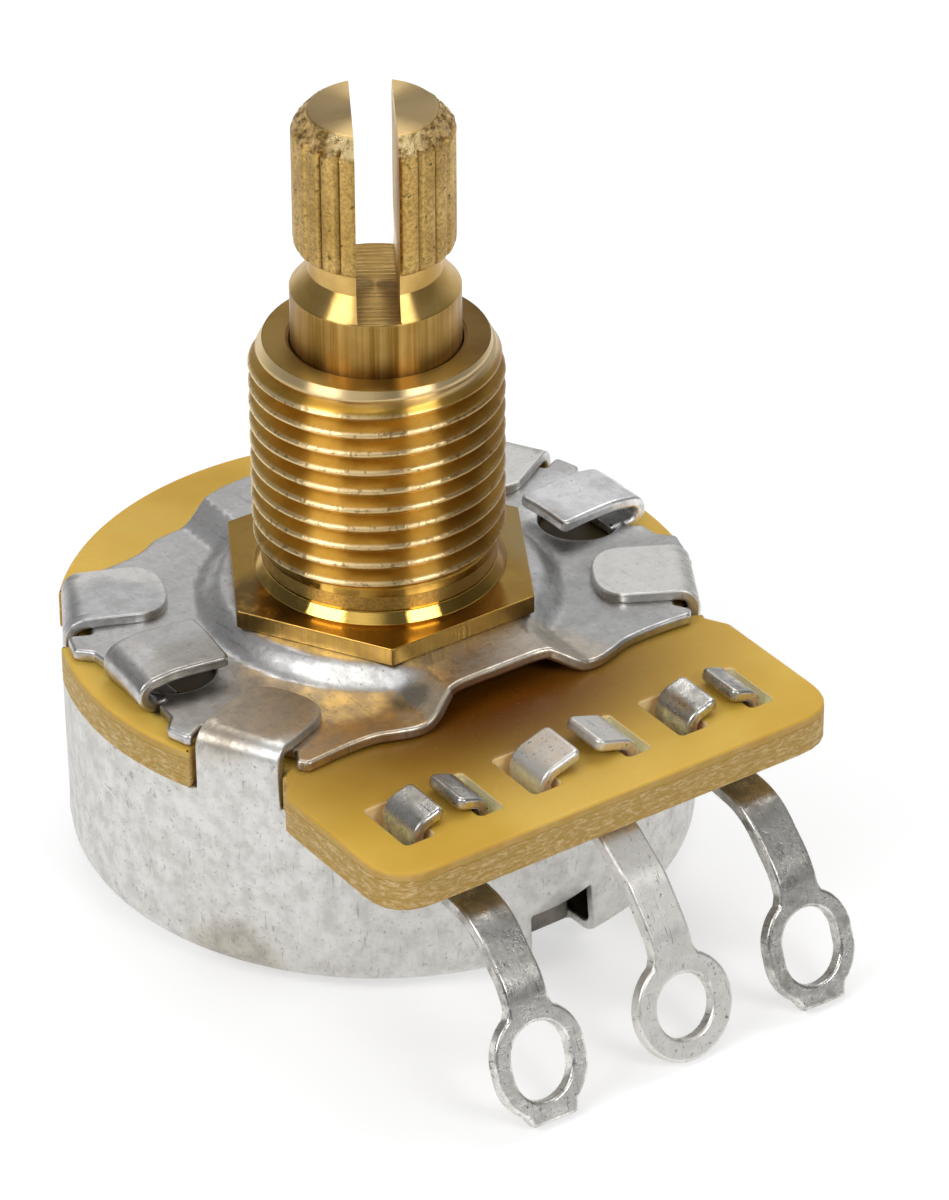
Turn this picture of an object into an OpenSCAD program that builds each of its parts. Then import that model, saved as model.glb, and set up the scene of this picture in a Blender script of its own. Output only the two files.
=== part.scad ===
// Rotary potentiometer with a threaded bushing and a split knurled shaft.
// Millimetres, +Z up the shaft. The origin is on the shaft's axis at the seat that
// meets the panel, and the terminals point towards -Y.

/* [Shaft] */
// Diameter of the turned shaft
shaft_d = 6.35; // [5.5:0.05:7]
// Top of the full-diameter collar above the panel seat
collar_top = 11.8; // [10.5:0.1:14]
// Diameter of the neck between collar and knurl
neck_d = 5; // [4.4:0.1:5.4]
// Height of the cone that leads from the collar to the neck
neck_cone_h = 0.8; // [0.4:0.1:1.2]
// Height of the neck and its cone together
neck_h = 1.75; // [1.4:0.05:3]
// Diameter over the knurl's crests
knurl_d = 6; // [5.6:0.05:6.4]
// Number of grooves round the knurl
knurl_count = 24; // [12:1:40]
// Depth of one knurl groove
knurl_depth = 0.27; // [0.1:0.01:0.4]
// Length of the knurled end with its chamfers
knurl_len = 5.5; // [4:0.1:12]
// Chamfer at the knurl's tip
tip_chamfer = 0.6; // [0.2:0.05:0.9]
// Width of the sawn slot
slot_w = 1.5875; // [0.8:0.01:2]
// Direction of the slot at rest, counted from +X
slot_angle = 58.4; // [0:0.1:180]

/* [Bushing] */
// Major diameter of the bushing's thread
thread_d = 9.5; // [8.8:0.05:11]
// Top of the bushing above the panel seat
bushing_top = 9.7; // [7:0.1:10]
// Height of the plain relief between thread and seat
relief_h = 1.35; // [0.8:0.05:2]
// Diameter of the relief
relief_d = 8.9; // [8.2:0.05:9.3]
// Chamfer at the bushing's top
bushing_chamfer = 0.5; // [0.2:0.05:0.8]
// Width of the hexagon across its flats
hex_af = 11.13; // [10.8:0.01:12]
// Thickness of the hexagon
hex_t = 0.73; // [0.5:0.01:1.2]
// Diameter of the spigot that is staked into the plate
spigot_d = 8.2; // [7.6:0.1:8.8]
// Diameter of the staked lip under the plate
stake_d = 9.4; // [8.8:0.1:9.8]
// Thickness of the staked lip
stake_t = 0.4; // [0.2:0.05:0.6]

/* [Front plate] */
// Thickness of the plate's sheet
plate_t = 0.5; // [0.4:0.05:0.65]
// Height of the raised boss over the plate's flats
boss_rise = 0.76; // [0.6:0.02:1]
// Diameter of the boss at its top
boss_d = 12.1; // [11:0.1:12.6]
// Half the width of the raised tongue at its top
tongue_top = 1.9; // [1.2:0.1:2.6]
// Half the width of the raised tongue at its foot
tongue_foot = 3.7; // [3.2:0.1:4.2]
// How far the plate's round edge stays inside the can's outside
plate_inset = 0.09; // [0.05:0.01:0.3]
// Width of the two folded lugs
lug_w = 3.1; // [2.6:0.1:3.6]
// Distance from the axis to the tip of a lug
lug_tip = 7.5; // [7.2:0.1:8.5]
// Distance from the plate's round edge back to the outside of a lug's fold
lug_inset = 0.7; // [0.4:0.1:1]
// Clear gap inside a lug's fold
lug_gap = 0.5; // [0.3:0.05:0.6]
// Diameter of the locating hole under a lug
locating_hole_d = 3.175; // [2.6:0.05:3.4]
// Distance from the axis to a locating hole
locating_hole_x = 9.3; // [9:0.1:9.6]

/* [Terminal board] */
// Thickness of the laminate
board_t = 1.6; // [1.2:0.1:2]
// How far the board's round edge stands proud of the can
board_proud = 0.2; // [0.1:0.01:0.4]
// Board beside an outer terminal's centre, out to the side edge
side_margin = 4.05; // [3.5:0.05:4.5]
// Board in front of the row of prongs
front_margin = 3.13; // [2.6:0.01:4]
// Corner radius at the board's front
board_corner = 1.9; // [1:0.1:2.4]
// Diameter of the hole round the bushing's staked lip
board_hole_d = 10.4; // [10.2:0.1:10.6]

/* [Can] */
// Outer diameter of the drawn can
can_d = 24.18; // [24.1:0.01:24.3]
// Sheet thickness of the can
can_t = 0.45; // [0.3:0.05:0.5]
// Height of the can up to the board
can_h = 7.6; // [7.4:0.05:9]
// Outer radius at the can's bottom edge
can_fillet = 0.85; // [0.6:0.05:1.2]
// Width of a tab
tab_w = 3.4; // [3:0.1:3.8]
// Length of a folded tab, from the can's outside to its tip
tab_len = 3.9; // [3.2:0.1:4]
// Corner radius at a tab's tip
tab_corner = 1.2; // [0.8:0.1:1.5]
// Width of the stop that is bent in from the can's wall
stop_w = 2.4; // [1.8:0.1:3]
// Height of that stop above the can's floor
stop_h = 2; // [1.6:0.1:2.4]

/* [Terminals] */
// Distance between neighbouring terminals
pitch = 6.1; // [5.9:0.05:6.4]
// Distance from the can's outside to the row of clinched prongs
row_out = 0.43; // [0.3:0.01:0.8]
// Sheet thickness of the terminals
term_t = 0.5; // [0.35:0.05:0.55]
// Width of a terminal's leg
leg_w = 1.75; // [1.4:0.05:2]
// Width of a prong
prong_w = 2.1; // [1.8:0.05:2.4]
// Length of a prong's slot in the board
slot_len = 2.7; // [2.5:0.05:3]
// Width of a prong's slot in the board
slot_open = 1.25; // [1.1:0.05:1.4]
// Distance from a terminal's centre to its prongs, outer terminals
outer_spread = 1.45; // [1.35:0.05:1.6]
// Distance from a terminal's centre to its prongs, middle terminal
middle_spread = 1.95; // [1.8:0.05:2.1]
// Width of the hole in a solder ring
eyelet_w = 2.45; // [2:0.05:2.8]
// Extra length of the outer terminals' oval holes
eyelet_stretch = 0.5; // [0:0.05:0.8]
// Width of the ring's wall, outer terminals
ring_wall = 0.6; // [0.45:0.05:0.9]
// Width of the ring's wall, middle terminal
middle_wall = 0.78; // [0.5:0.02:1]

/* [Mechanism] */
// Full turn of the shaft between its stops
travel = 300; // [270:5:310]
// Distance from the can's inside to the middle of the carbon track
track_inset = 2.94; // [2.6:0.02:3.2]
// Width of the carbon track
track_w = 1.6; // [1.2:0.1:1.8]
// Thickness of the printed track and its end pads
print_t = 0.05; // [0.03:0.01:0.08]
// Gap between the moulded rotor's disc and the can
rotor_gap = 1.84; // [1.4:0.02:2.2]
// Thickness of the rotor's disc
rotor_t = 1.4; // [1:0.1:1.6]

/* [Hidden] */
$fn = 96;
eps = 0.01;
cut = 1;

// Clearances between pieces
run_gap = 0.05;
seat_gap = 0.02;
side_gap = 0.2;

// Levels, from the panel seat down
boss_z = -hex_t;
flat_z = boss_z - boss_rise;
board_z = flat_z - plate_t;
rim_z = board_z - board_t;
base_z = rim_z - can_h;
floor_z = base_z + can_t;
spigot_z = boss_z - plate_t - stake_t;

// Radii that follow the can
can_r = can_d / 2;
can_in = can_r - can_t;
plate_r = can_r - plate_inset;
board_r = can_r + board_proud;
track_r = can_in - track_inset;
rotor_r = can_in - rotor_gap;

// Where the row of prongs and the board's edges lie
row_y = can_r + row_out;
board_front = row_y + front_margin;
board_side = pitch + side_margin;

// Stations of the can's four tabs, and how far each is turned when folded
TABS = [[-30, 0], [30, 0], [150, 8], [210, -7]];
tab_bend = 0.35;
tab_skew = 8;

// Depth of the notches that clear a tab: in the board, and in the plate under the bend
board_notch_r = sqrt(pow(can_in, 2) - pow(tab_w / 2, 2)) - run_gap;
plate_notch_r = can_in - tab_bend - tab_w / 2 * sin(tab_skew) - run_gap;

// The sheet's edge in plan as shares of plate_r, for half of the front and half of the
// back, symmetric in X
FRONT_EDGE = plate_r * [[0, -0.65], [0.1, -0.65], [0.158, -0.654], [0.217, -0.675], [0.275, -0.7],
                        [0.342, -0.708], [0.408, -0.683], [0.475, -0.663], [0.583, -0.654], [0.742, -0.642]];
BACK_EDGE = plate_r * [[0, 0.754], [0.1, 0.75], [0.183, 0.729], [0.267, 0.7], [0.342, 0.692],
                       [0.417, 0.679], [0.483, 0.646], [0.583, 0.629], [0.758, 0.623]];

// A lug's fold
fold_r = lug_gap / 2;
lug_fold = plate_r - lug_inset;

// Bends of a terminal's leg, each an inner radius, an angle and the straight run after it
LEG_BENDS = [[1.6, 36, 1.1], [2.5, 18, 1.45], [2.5, 16, 0]];
leg_start = row_y + 1.66;
middle_extra = 0.32;
outer_neck = 0.8;
middle_neck = 1.05;

// How far each terminal's inner end reaches in: over the end pads, and over the collector ring
outer_inner = track_r + 0.2;
track_in = track_r - track_w / 2;
collector_in = board_hole_d / 2 + side_gap;
collector_out = (collector_in + track_in) / 2;
middle_inner = collector_out - 0.5;

// How far the left and the right prong lean over the board
OUTER_LEAN = [[1.15, 0.55], [1.15, 0.2]];
MIDDLE_LEAN = [1.6, 1];
nub_w = 1.9;
nub_h = 0.22;

// Mechanism levels
track_z = rim_z - print_t;
term_z = track_z;
washer_room = 0.75;
ring_t = 0.6;
ring_z = spigot_z - washer_room - ring_t;
tail_shoulder = 1.27;
tail_z = ring_z - tail_shoulder;
groove_d = 5.3;
ring_w = 1.85;
washer_t = 0.2;
washer_w = 1.37;
tail_d = 4.6;
tail_flat = 3.6;
tail_len = 4;
rotor_drop = 1.05;
rotor_z = term_z - term_t - rotor_drop;
hub_d = 8.2;
stop_y = can_in - 1.04;
stop_half = atan(stop_w / 2 / (stop_y - can_t));
stop_ease = 0.5;
arm_half = 180 - travel / 2 - stop_half - stop_ease;
arm_r = can_in - 0.5;
arm_in = rotor_r - 2.8;
arm_z = floor_z + 0.3;

BRASS = [0.78, 0.6, 0.3];
ZINC = [0.66, 0.66, 0.65];
TIN = [0.75, 0.75, 0.73];
STEEL = [0.82, 0.82, 0.81];
LAMINATE = [0.8, 0.62, 0.25];

// Points of a smooth curve through the given points
function curve_at(a, b, c, d, t) =
    0.5 * (2 * b + (c - a) * t + (2 * a - 5 * b + 4 * c - d) * t * t
           + (3 * b - a - 3 * c + d) * t * t * t);
function smooth(p, n) = let (last = len(p) - 1)
    concat([for (i = [0:last - 1], k = [0:n - 1])
            curve_at(p[max(i - 1, 0)], p[i], p[i + 1], p[min(i + 2, last)], k / n)],
           [p[last]]);
function arc(x, y, r, from, to, n) =
    [for (k = [0:n]) let (a = from + (to - from) * k / n) [x + r * cos(a), y + r * sin(a)]];
function mirrored(p) = [for (i = [len(p) - 1:-1:1]) [-p[i][0], p[i][1]]];

// A ring with a square section
module ring(outer, inner, h) {
    difference() {
        cylinder(r = outer, h = h);
        translate([0, 0, -cut]) cylinder(r = inner, h = h + 2 * cut);
    }
}

// Part of a ring, centred on an angle
module sector(outer, inner, h, mid, half) {
    rotate([0, 0, mid - half]) rotate_extrude(angle = 2 * half)
        translate([inner, 0]) square([outer - inner, h]);
}

// A strip of sheet that starts at the origin and runs along +Y with its top face at z = 0.
// Each step is [inner radius, angle, run]: it bends down, or up for a negative angle,
// and then runs straight. The children sit at the end, along +Y.
module strip(w, t, steps, i = 0) {
    if (i == len(steps)) children();
    else {
        r = steps[i][0];
        a = steps[i][1];
        run = steps[i][2];
        pivot = a > 0 ? -t - r : r;
        if (a != 0) translate([-w / 2, 0, pivot]) rotate([0, 90, 0])
            rotate([0, 0, a > 0 ? 180 - a : 0]) rotate_extrude(angle = abs(a))
                translate([r, 0]) square([t, w]);
        translate([0, 0, pivot]) rotate([-a, 0, 0]) translate([0, 0, -pivot]) {
            if (run > 0) translate([-w / 2, 0, -t]) cube([w, run, t]);
            translate([0, run, 0]) strip(w, t, steps, i + 1) children();
        }
    }
}

// Brass shaft: knurled split tip, neck, collar, groove and a flatted tail for the rotor
module shaft() {
    knurl_z = collar_top + neck_h;
    tip_z = knurl_z + knurl_len;
    kr = knurl_d / 2;
    half_tooth = 180 / knurl_count;
    color(BRASS) difference() {
        union() {
            rotate_extrude() polygon([
                [0, tail_z], [shaft_d / 2, tail_z], [shaft_d / 2, collar_top],
                [neck_d / 2, collar_top + neck_cone_h], [neck_d / 2, knurl_z + eps], [0, knurl_z + eps]]);
            intersection() {
                translate([0, 0, knurl_z]) linear_extrude(knurl_len) polygon([
                    for (k = [0:knurl_count - 1], s = [-0.65, 0.65, 1])
                        let (a = (2 * k + s) * half_tooth, r = s == 1 ? kr - knurl_depth : kr)
                        [r * cos(a), r * sin(a)]]);
                rotate_extrude() polygon([
                    [0, knurl_z], [neck_d / 2, knurl_z], [kr, knurl_z + kr - neck_d / 2],
                    [kr, tip_z - tip_chamfer], [kr - tip_chamfer, tip_z], [0, tip_z]]);
            }
            intersection() {
                translate([0, 0, tail_z - tail_len]) cylinder(d = tail_d, h = tail_len + eps);
                translate([-tail_d, -tail_flat / 2, tail_z - tail_len])
                    cube([2 * tail_d, tail_flat, tail_len + eps]);
            }
        }
        rotate([0, 0, slot_angle]) translate([-shaft_d, -slot_w / 2, collar_top])
            cube([2 * shaft_d, slot_w, tip_z]);
        translate([0, 0, ring_z - seat_gap])
            ring(shaft_d, groove_d / 2, ring_t + 2 * seat_gap);
    }
}

// Brass bushing: threaded barrel, relief, hexagon and the spigot staked under the plate
module bushing() {
    tr = thread_d / 2;
    rr = relief_d / 2;
    bore = shaft_d / 2 + run_gap;
    flare = 0.45;
    mouth = 0.1;
    color(BRASS) difference() {
        union() {
            rotate_extrude() polygon([
                [0, -hex_t], [rr + flare, -hex_t], [rr + flare, 0],
                for (k = [0:4]) let (a = 18 * k) [rr + flare * (1 - sin(a)), flare * (1 - cos(a))],
                [rr, flare], [rr, relief_h], [tr - 0.2, relief_h], [tr, relief_h + 0.3],
                [tr, bushing_top - bushing_chamfer], [tr - bushing_chamfer, bushing_top], [0, bushing_top]]);
            intersection() {
                translate([0, 0, -hex_t]) cylinder(d = hex_af / cos(30), h = hex_t, $fn = 6);
                rotate_extrude() polygon([
                    [0, -hex_t], [hex_af / 2 + 0.6, -hex_t], [hex_af / 2 + 0.85, -hex_t + 0.15],
                    [hex_af / 2 + 0.85, -0.25], [hex_af / 2 + 0.45, 0], [0, 0]]);
            }
            translate([0, 0, spigot_z]) cylinder(d = spigot_d, h = -spigot_z - hex_t + eps);
            translate([0, 0, spigot_z]) cylinder(d = stake_d, h = stake_t - seat_gap);
        }
        translate([0, 0, spigot_z - cut]) cylinder(r = bore, h = bushing_top - spigot_z + 2 * cut);
        translate([0, 0, bushing_top - mouth]) cylinder(r1 = bore, r2 = bore + 2 * mouth, h = 2 * mouth);
    }
}

// Outline of the plate, seen from above
module plate_outline() {
    front = smooth(FRONT_EDGE, 4);
    back = smooth(BACK_EDGE, 4);
    bay_in = lug_w / 2;
    bay_out = bay_in + 1.1;
    difference() {
        intersection() {
            circle(r = plate_r);
            polygon(concat(mirrored(front), front, [[plate_r, front[len(front) - 1][1]],
                                                    [plate_r, back[len(back) - 1][1]]],
                           [for (i = [len(back) - 1:-1:0]) back[i]],
                           [for (i = [1:len(back) - 1]) [-back[i][0], back[i][1]]],
                           [[-plate_r, back[len(back) - 1][1]], [-plate_r, front[len(front) - 1][1]]]));
        }
        for (tab = TABS) rotate([0, 0, tab[0]])
            translate([plate_notch_r, -tab_w / 2 - side_gap]) square([plate_r, tab_w + 2 * side_gap]);
        for (side = [-1, 1], end = [-1, 1])
            translate([side * plate_r, end * (bay_in + bay_out) / 2])
                square([2 * (plate_r - lug_fold + fold_r + plate_t), bay_out - bay_in], center = true);
        for (side = [-1, 1]) translate([side * plate_r, 0])
            square([2 * (plate_r - lug_fold + fold_r + plate_t), lug_w + 2 * eps], center = true);
    }
}

// The raised boss and tongue as one filled form, narrowed by inset all round
module raised(inset) {
    top = boss_d / 2 - inset;
    rise = boss_rise + cut;
    foot = top + boss_rise;
    n = 8;
    side = [for (k = [0:n]) let (f = k / n)
            [tongue_top - inset + (tongue_foot - tongue_top) * f,
             flat_z + boss_rise * (1 + cos(180 * f)) / 2]];
    rotate_extrude() polygon([
        [0, flat_z - cut], [foot, flat_z - cut], [foot, flat_z], [top, flat_z + boss_rise],
        [0, flat_z + boss_rise]]);
    translate([0, plate_r, 0]) rotate([90, 0, 0]) linear_extrude(2 * plate_r)
        polygon(concat(side, [[side[n][0], flat_z - cut], [-side[n][0], flat_z - cut]],
                       [for (k = [n:-1:0]) [-side[k][0], side[k][1]]]));
}

// Zinc-plated front plate: raised boss and tongue, locating holes and two lugs folded back
module front_plate() {
    sheet_slope = 0.41;
    fold_x = lug_fold - fold_r - plate_t;
    color(ZINC) {
        difference() {
            union() {
                translate([0, 0, board_z]) linear_extrude(plate_t) plate_outline();
                intersection() {
                    raised(0);
                    translate([0, 0, board_z]) linear_extrude(plate_t + boss_rise) plate_outline();
                }
            }
            translate([0, 0, -plate_t]) raised(sheet_slope * plate_t);
            translate([0, 0, board_z - cut]) cylinder(d = spigot_d + 2 * seat_gap, h = cut - board_z);
            for (side = [-1, 1]) translate([side * locating_hole_x, 0, board_z - cut])
                cylinder(d = locating_hole_d, h = plate_t + 2 * cut);
        }
        for (side = [0, 180]) rotate([0, 0, side - 90]) translate([0, fold_x - eps, board_z + plate_t])
            strip(lug_w, plate_t, [[0, 0, eps], [fold_r, -180, fold_x - lug_tip]]);
    }
}

// The board's blank: a disc with the terminal end, notched for the can's tabs
module board_blank() {
    shoulder = 0.9;
    shoulder_y = 8.8;
    corner = arc(board_side - board_corner, board_corner - board_front, board_corner, 0, -90, 8);
    difference() {
        union() {
            cylinder(r = board_r, h = board_t);
            linear_extrude(board_t) polygon(concat(
                [[-board_side + shoulder, -shoulder_y + shoulder], [board_side - shoulder, -shoulder_y + shoulder],
                 [board_side, -shoulder_y]], corner,
                [for (i = [len(corner) - 1:-1:0]) [-corner[i][0], corner[i][1]]], [[-board_side, -shoulder_y]]));
        }
        for (tab = TABS) rotate([0, 0, tab[0]]) translate([board_notch_r, -tab_w / 2 - side_gap, -cut])
            cube([board_r, tab_w + 2 * side_gap, board_t + 2 * cut]);
    }
}

// Where a terminal's two slots lie, from its centre
function slot_mid(spread) = spread + 0.15;

// Amber laminate board that carries the track and the terminals
module terminal_board() {
    color(LAMINATE) translate([0, 0, rim_z]) difference() {
        board_blank();
        translate([0, 0, -cut]) cylinder(d = board_hole_d, h = board_t + 2 * cut);
        for (k = [-1:1], side = [-1, 1])
            translate([k * pitch + side * slot_mid(k == 0 ? middle_spread : outer_spread), -row_y, board_t / 2])
                cube([slot_open, slot_len, board_t + 2 * cut], center = true);
    }
}

// Drawn steel can with four tabs, a bent-in stop and room for the terminals under the board
module can() {
    window_half = 50;
    window_h = 1.1;
    tab_top = flat_z + can_t;
    bend_z = flat_z - tab_bend;
    notch_w = stop_w + 0.2;
    color(STEEL) {
        difference() {
            rotate_extrude() difference() {
                union() {
                    square_to(can_r, base_z + can_fillet, bend_z + eps);
                    square_to(can_r - can_fillet, base_z, base_z + can_fillet + eps);
                    translate([can_r - can_fillet, base_z + can_fillet]) circle(r = can_fillet);
                }
                square_to(can_in, floor_z + can_fillet - can_t, bend_z + cut);
                square_to(can_r - can_fillet, floor_z, floor_z + can_fillet);
                translate([can_r - can_fillet, base_z + can_fillet]) circle(r = can_fillet - can_t);
            }
            difference() {
                translate([0, 0, rim_z]) ring(can_r + cut, can_in - cut, bend_z - rim_z + cut);
                for (tab = TABS) rotate([0, 0, tab[0]])
                    translate([0, -tab_w / 2, rim_z - cut]) cube([2 * can_r, tab_w, bend_z - rim_z + 2 * cut]);
            }
            translate([0, 0, rim_z - window_h]) sector(can_r + cut, can_in - cut, window_h + cut, -90, window_half);
            translate([-notch_w / 2, -can_r - cut, base_z - cut])
                cube([notch_w, can_r + cut - stop_y, stop_h + can_t + 0.2 + cut]);
        }
        translate([-stop_w / 2, -stop_y, base_z + can_t / 2]) cube([stop_w, can_t, stop_h + can_t / 2]);
        for (tab = TABS) rotate([0, 0, tab[0]]) translate([can_r, 0, tab_top]) rotate([0, 0, tab[1]])
            tab_fold();
    }
}

// A rectangle from the axis out to r, between two heights
module square_to(r, low, high) {
    translate([0, low]) square([r, high - low]);
}

// The bend of a can's tab and its round-cornered end, pointing to the axis
module tab_fold() {
    outer = tab_bend + can_t;
    tip = tab_len - outer;
    corner = arc(-tip + tab_corner, tab_w / 2 - tab_corner, tab_corner, 90, 180, 8);
    translate([-outer, tab_w / 2, -outer]) rotate([90, 0, 0]) rotate_extrude(angle = 90)
        translate([tab_bend, 0]) square([can_t, tab_w]);
    translate([-outer, 0, -can_t]) linear_extrude(can_t)
        polygon(concat([[eps, tab_w / 2]], corner,
                       [for (i = [len(corner) - 1:-1:0]) [corner[i][0], -corner[i][1]]], [[eps, -tab_w / 2]]));
}

// A solder ring in its own plane, hung from the origin along +Y, with the top face at z = 0
module solder_ring(wall, stretch, neck, nub) {
    outer = eyelet_w / 2 + wall;
    top = neck + eyelet_w / 2;
    ends = stretch > 0 ? [top, top + stretch] : [top];
    translate([0, 0, -term_t]) linear_extrude(term_t) difference() {
        union() {
            for (y = ends) translate([0, y]) circle(r = outer);
            if (stretch > 0) translate([-outer, top]) square([2 * outer, stretch]);
            translate([-leg_w / 2, -eps]) square([leg_w, top]);
            if (nub > 0) translate([-nub_w / 2, top + stretch]) square([nub_w, outer + nub]);
        }
        for (y = ends) translate([0, y]) circle(d = eyelet_w);
        if (stretch > 0) translate([-eyelet_w / 2, top]) square([eyelet_w, stretch]);
    }
}

// A terminal: flat base under the board, two prongs clinched over it and a bent leg
module terminal(spread, lean, inner, start, wall, stretch, neck, nub) {
    base_half = spread + term_t / 2;
    base_l = 2.4;
    bend_in = 0.35;
    rise = board_z - term_z + 0.15;
    color(TIN) translate([0, 0, term_z]) {
        translate([-base_half + eps, -row_y - base_l / 2, -term_t])
            cube([2 * base_half - 2 * eps, base_l, term_t]);
        translate([-leg_w / 2, -start, -term_t]) cube([leg_w, start - inner, term_t]);
        translate([0, -start, 0]) rotate([0, 0, 180]) strip(leg_w, term_t, LEG_BENDS)
            solder_ring(wall, stretch, neck, nub);
        for (side = [-1, 1]) {
            reach = side < 0 ? lean[0] : lean[1];
            translate([side * (spread - term_t / 2), -row_y, -term_t]) rotate([0, 0, -side * 90])
                rotate([90, 0, 0]) strip(prong_w, term_t,
                    [[0, 0, rise + term_t], [bend_in, -75, reach]]);
        }
    }
}

// One of the two outer terminals, with an oval ring
module outer_terminal(lean) {
    terminal(outer_spread, lean, outer_inner, leg_start, ring_wall, eyelet_stretch, outer_neck, nub_h);
}

module terminal_left() {
    translate([-pitch, 0, 0]) outer_terminal(OUTER_LEAN[0]);
}

module terminal_middle() {
    terminal(middle_spread, MIDDLE_LEAN, middle_inner, leg_start + middle_extra, middle_wall, 0, middle_neck, 0);
}

module terminal_right() {
    translate([pitch, 0, 0]) outer_terminal(OUTER_LEAN[1]);
}

// Carbon track printed on the board's underside
module carbon_track() {
    color([0.12, 0.12, 0.12]) translate([0, 0, track_z])
        sector(track_in + track_w, track_in, print_t, 90, travel / 2);
}

// Silver pads between the track's ends and the outer terminals
module end_pad(side) {
    track_out = track_r + track_w / 2;
    turn = travel / 2;
    pad_half = 3;
    lap_half = 6.5;
    pad_lap = 0.3;
    color([0.75, 0.75, 0.75]) translate([0, 0, track_z]) {
        sector(track_out + pad_lap, track_in, print_t, 90 + side * (turn + pad_half), pad_half);
        sector(can_in - pad_lap, track_out + pad_lap / 2, print_t, 90 + side * (turn + 2 * pad_half - lap_half), lap_half);
    }
}

module end_pad_left() {
    end_pad(1);
}

module end_pad_right() {
    end_pad(-1);
}

// Contact ring on the board's underside that feeds the middle terminal
module collector_ring() {
    color(BRASS) translate([0, 0, track_z]) ring(collector_out, collector_in, print_t);
}

// Bowed washer between the bushing and the retaining ring
module spring_washer() {
    bow_r = 25;
    in = shaft_d / 2 + run_gap;
    out = in + washer_w;
    sag = bow_r - sqrt(bow_r * bow_r - out * out);
    color(STEEL) intersection() {
        translate([0, 0, ring_z]) ring(out, in, spigot_z - ring_z);
        translate([-2 * out, 0, ring_z + ring_t + run_gap + sag - bow_r]) rotate([0, 90, 0])
            ring(bow_r + washer_t, bow_r, 4 * out);
    }
}

// Open ring in the shaft's groove that holds the shaft in the bushing
module retaining_ring() {
    gap_w = 4;
    color(STEEL) translate([0, 0, ring_z]) difference() {
        ring(groove_d / 2 + ring_w, groove_d / 2 + seat_gap, ring_t);
        translate([0, -gap_w / 2, -cut]) cube([groove_d + ring_w, gap_w, ring_t + 2 * cut]);
    }
}

// Moulded rotor on the shaft's tail, with the arm that meets the can's stop
module rotor() {
    low = floor_z + run_gap;
    color([0.16, 0.15, 0.14]) difference() {
        union() {
            translate([0, 0, rotor_z - rotor_t]) cylinder(r = rotor_r, h = rotor_t);
            translate([0, 0, arm_z + 0.5]) cylinder(d = hub_d, h = tail_z - seat_gap - arm_z - 0.5);
            translate([0, 0, low]) cylinder(d = hub_d / 2, h = arm_z + 0.6 - low);
            translate([0, 0, arm_z]) sector(arm_r, arm_in, rotor_z - rotor_t + eps - arm_z, 90, arm_half);
        }
        intersection() {
            translate([0, 0, tail_z - tail_len - seat_gap])
                cylinder(d = tail_d + 2 * seat_gap, h = tail_len + cut);
            translate([-tail_d, -tail_flat / 2 - seat_gap, tail_z - tail_len - seat_gap])
                cube([2 * tail_d, tail_flat + 2 * seat_gap, tail_len + cut]);
        }
    }
}

// Spring contact on the rotor: a ring with two fingers that rise to the track and the collector
module wiper() {
    t = 0.2;
    lift = track_z - rotor_z - t - run_gap;
    finger_w = 0.7;
    slope = 22;
    run = lift / sin(slope);
    inner = hub_d / 2 + run_gap;
    color([0.8, 0.55, 0.35]) {
        translate([0, 0, rotor_z]) ring(track_r + finger_w, inner, t);
        for (r = [(collector_out + collector_in) / 2, track_r]) rotate([0, 0, 90]) translate([r, -run * cos(slope) - 0.15, rotor_z + t])
            strip(finger_w, t, [[0, 0, 0.01], [0.4, -slope, run - 0.35], [0.4, slope, 0.4]]);
    }
}

shaft();
bushing();
front_plate();
terminal_board();
can();
terminal_left();
terminal_middle();
terminal_right();
carbon_track();
end_pad_left();
end_pad_right();
collector_ring();
spring_washer();
retaining_ring();
rotor();
wiper();
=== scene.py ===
import math

import bmesh
import bpy
import numpy as np
from mathutils import Matrix, Vector, geometry, noise


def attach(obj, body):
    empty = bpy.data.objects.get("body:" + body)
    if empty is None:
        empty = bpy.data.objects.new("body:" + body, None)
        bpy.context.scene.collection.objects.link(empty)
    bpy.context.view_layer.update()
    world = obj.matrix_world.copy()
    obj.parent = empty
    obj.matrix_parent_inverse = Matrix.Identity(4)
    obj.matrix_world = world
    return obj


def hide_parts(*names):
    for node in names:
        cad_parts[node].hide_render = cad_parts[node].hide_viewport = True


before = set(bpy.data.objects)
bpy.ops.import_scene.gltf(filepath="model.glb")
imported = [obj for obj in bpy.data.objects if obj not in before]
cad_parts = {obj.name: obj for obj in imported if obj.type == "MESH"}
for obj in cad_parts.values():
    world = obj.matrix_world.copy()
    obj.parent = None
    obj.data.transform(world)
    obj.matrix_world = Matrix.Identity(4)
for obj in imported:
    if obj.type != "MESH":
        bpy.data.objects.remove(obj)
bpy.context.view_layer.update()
MM = 0.001

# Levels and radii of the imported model, in millimetres
BOSS_Z, FLAT_Z, BOARD_Z, RIM_Z, BASE_Z = -0.73, -1.49, -1.99, -3.59, -11.19
PLATE_T, BOARD_T, CAN_T, TERM_T = 0.5, 1.6, 0.45, 0.5
CAN_R, ROW_Y, PITCH = 12.09, 12.52, 6.1
SLOT, SLOT_ANGLE, FLOOR = 1.5875, 58.4, 11.81


def rot2(p, deg):
    """Points turned about the origin in their plane"""
    c, s = math.cos(math.radians(deg)), math.sin(math.radians(deg))
    p = np.asarray(p, float)
    return np.column_stack([p[:, 0] * c - p[:, 1] * s, p[:, 0] * s + p[:, 1] * c])


def ease(x):
    x = np.clip(x, 0, 1)
    return x * x * (3 - 2 * x)


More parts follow.
